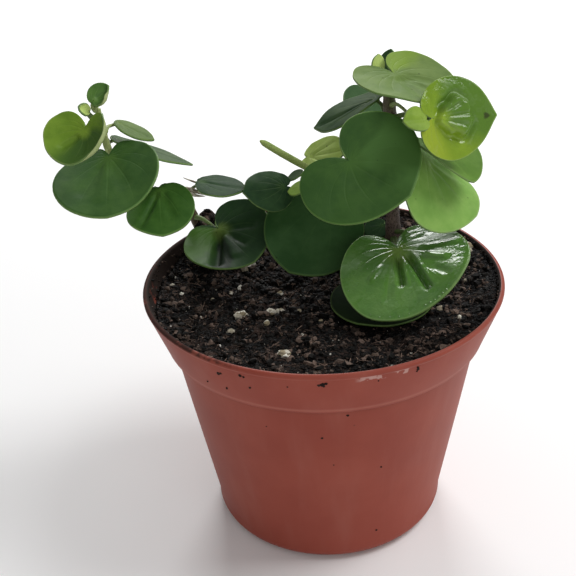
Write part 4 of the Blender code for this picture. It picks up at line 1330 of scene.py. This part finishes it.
# %% Dry scraps at the left stem
SCRAPS = [
    [(-41.4, 21.2, 115.0, 0.3), (-43, 21.4, 115.6, 0.35),
     (-44.6, 21.6, 116.2, 0.25), (-46.4, 22, 116.9, 0.1)],
    [(-46.6, 21.6, 112.6, 0.4), (-44, 20.2, 113.4, 0.55),
     (-41.4, 19.4, 112.4, 0.6), (-37.8, 19.4, 111.2, 0.15)],
    [(-46.2, 22.6, 111.8, 0.4), (-44, 21, 112, 0.5), (-42.2, 20.4, 110.8, 0.5), (-39.2, 20.4, 110.4, 0.1)],
    [(-45.4, 24, 110.9, 0.3), (-44.2, 23, 110, 0.4), (-42.6, 22.6, 109.6, 0.3), (-41.2, 23, 109.4, 0.1)],
]
scraps = [tube(f"scrap_{k}", smooth_route(route, 6), sides=1) for k, route in enumerate(SCRAPS)]
dry_scraps = rename(join(*scraps), "dry_scraps")
sheath_look = crumb_finish("dry_sheath", (0.200, 0.170, 0.120), (0.560, 0.520, 0.430), 0.8)
dry_scraps.data.materials.append(sheath_look)
finish_piece(dry_scraps, None)
print("scraps:", len(SCRAPS))

# %% [markdown]
# ## Water drops
# A row of small drops hangs at the lower edge of the wet leaf. Drops on a leaf show the leaf's own green
# and a small bright reflection.

# %% Drops on the wet leaf
DROPS = [(3, 0.94, 0.30), (6, 0.95, 0.38), (9, 0.955, 0.30), (12, 0.96, 0.42), (15, 0.955, 0.33),
         (18, 0.96, 0.36), (-8, 0.95, 0.22), (-14, 0.96, 0.25), (-20, 0.955, 0.20), (-27, 0.96, 0.26),
         (-34, 0.95, 0.20), (-60, 0.93, 0.2), (-75, 0.72, 0.22), (-66, 0.55, 0.2), (32, 0.93, 0.22)]
wet_leaf = next(leaf for leaf in LEAVES if leaf.name == "leaf_low_right")
wet_seed = 1.7 * LEAVES.index(wet_leaf)
drop_places = []
for degrees, share, size in DROPS:
    spot = wet_leaf.surface(np.array([math.radians(degrees)]), np.array([share]), wet_seed)[0]
    place = wet_leaf.at + wet_leaf.turn @ (Vector(spot) + Vector((0, 0, wet_leaf.thick / 2)))
    flat = wet_leaf.turn.to_4x4() @ Matrix.Diagonal((size * MM, size * MM, size * MM * 0.6, 1.0))
    drop_places.append(Matrix.Translation(place * MM) @ flat)
select_only()
bpy.ops.mesh.primitive_uv_sphere_add(segments=16, ring_count=10, radius=1.0)
drops = scatter("water_drops", rename(bpy.context.object, "drop"), drop_places)
water = Finish("water_on_leaf", Specular_IOR_Level=0.9, Roughness=0.04)
water.colour(water.blend(water.noise(400, 2, 0.5), (0.10, 0.20, 0.06), (0.20, 0.32, 0.12)))
drops.data.materials.append(water.material)
finish_piece(drops, None)
print("drops:", len(DROPS))

# %% [markdown]
# ## The flower spike
# The spike is a thin rod covered with hundreds of tiny flowers, too small to tell apart. A tube with a
# fine cell pattern as bump shows them, with painted shade in the gaps between them.

# %% Spike
SPIKE = [(-2.1, 27, 116.8, 0.8), (-1.0, 23, 117, 0.9), (-2.4, 19.5, 119, 1.0), (-6.4, 18, 122.2, 1.2),
         (-12.5, 18, 126.2, 1.2), (-17.4, 18, 129.6, 1.1), (-18.7, 18, 130.5, 0.7)]


def spike_green():
    finish = Finish("spike_green", Specular_IOR_Level=0.3, Roughness=0.6)
    gap, pick = finish.cells(2600)
    clouds = finish.noise(150, 2, 0.5)
    colour = finish.blend(clouds.between(0.35, 0.65), (0.22, 0.31, 0.07), (0.34, 0.43, 0.12))
    # Darker green where the cells meet: painted shade in the gaps between the tiny flowers.
    finish.colour(finish.blend(gap.between(0.3, 0.8) * 0.4, colour, (0.14, 0.22, 0.05)))
    finish.bump(gap * -1.0, 0.0003, 0.7)
    return finish.material


spike_route = [row for row in smooth_route(SPIKE, 8)]
spike_route += [(-19.1, 18, 130.75, 0.45), (-19.3, 18, 130.9, 0.15)]
spike = tube("flower_spike_fine", spike_route, sides=5)
spike.data.materials.append(spike_green())
finish_piece(spike, "flower_spike")
print("spike faces:", len(spike.data.polygons))

# %% [markdown]
# ## Dirt on the pot
# A few crumbs of soil stick to the outside of the pot. They are flat, so they are single crumbs pressed
# on the wall at their place round the pot and their height.

# %% Stuck crumbs
STUCK = [(-123, 83.9, 0.5), (-122, 84.3, 0.3), (-115, 86.0, 0.45), (-114, 85.6, 0.35), (-91, 85.6, 0.6),
         (-90, 86.0, 0.4), (-92, 85.3, 0.4), (-90.6, 84.7, 0.3), (-83, 68.6, 0.4), (-92, 59.3, 0.35),
         (-63, 86.4, 0.35), (-62.8, 85.6, 0.4), (-63, 84.8, 0.25), (-122, 77.5, 0.3), (-113, 81.0, 0.3),
         (-69, 42.7, 0.3), (-68, 11.4, 0.3), (-130, 77.0, 0.25), (-101, 84.0, 0.2), (-75, 84.8, 0.2),
         (-88, 47.0, 0.2), (-112, 62.0, 0.2)]
FOOT_CRUMBS = [(-137, 36.4, 0.9), (-130, 36.9, 0.6), (-65, 36.6, 1.0), (-98, 36.3, 0.5), (-80, 36.5, 0.6),
               (-150, 36.6, 0.7), (-50, 36.8, 0.5)]


def wall_outside(z):
    if z > BAND_FOOT_Z:
        rise = (z - BAND_FOOT_Z) / (POT_HEIGHT - LIP - BAND_FOOT_Z)
        return BAND_FOOT_RADIUS + (BAND_TOP_RADIUS - BAND_FOOT_RADIUS) * rise
    rise = (z - BODY_FOOT_Z) / (BAND_FOOT_Z - BODY_FOOT_Z)
    return BODY_FOOT_RADIUS + (BODY_TOP_RADIUS - BODY_FOOT_RADIUS) * rise


stuck_places = []
for angle, z, size in STUCK:
    way = math.radians(angle)
    radius = wall_outside(z) + 0.05
    place = Vector((radius * math.cos(way), radius * math.sin(way), z)) * MM
    turn = Matrix.Rotation(way, 4, "Z") @ Matrix.Rotation(draw.uniform(-0.8, 0.8), 4, "X")
    shape = Matrix.Diagonal((0.35 * size * MM, size * MM, 0.8 * size * MM, 1.0))
    stuck_places.append(Matrix.Translation(place) @ turn @ shape)
for angle, radius, size in FOOT_CRUMBS:
    way = math.radians(angle)
    place = (radius * math.cos(way), radius * math.sin(way), size * 0.9)
    stuck_places.append(tumbled(place, size * MM))
stuck = scatter("stuck_crumbs", small_ball("stuck"), stuck_places)
stuck.data.materials.append(crumb_finish("stuck_crumb", (0.012, 0.008, 0.007), (0.035, 0.022, 0.018), 0.8))
finish_piece(stuck, None, smooth=False)
print("stuck crumbs:", len(STUCK) + len(FOOT_CRUMBS))
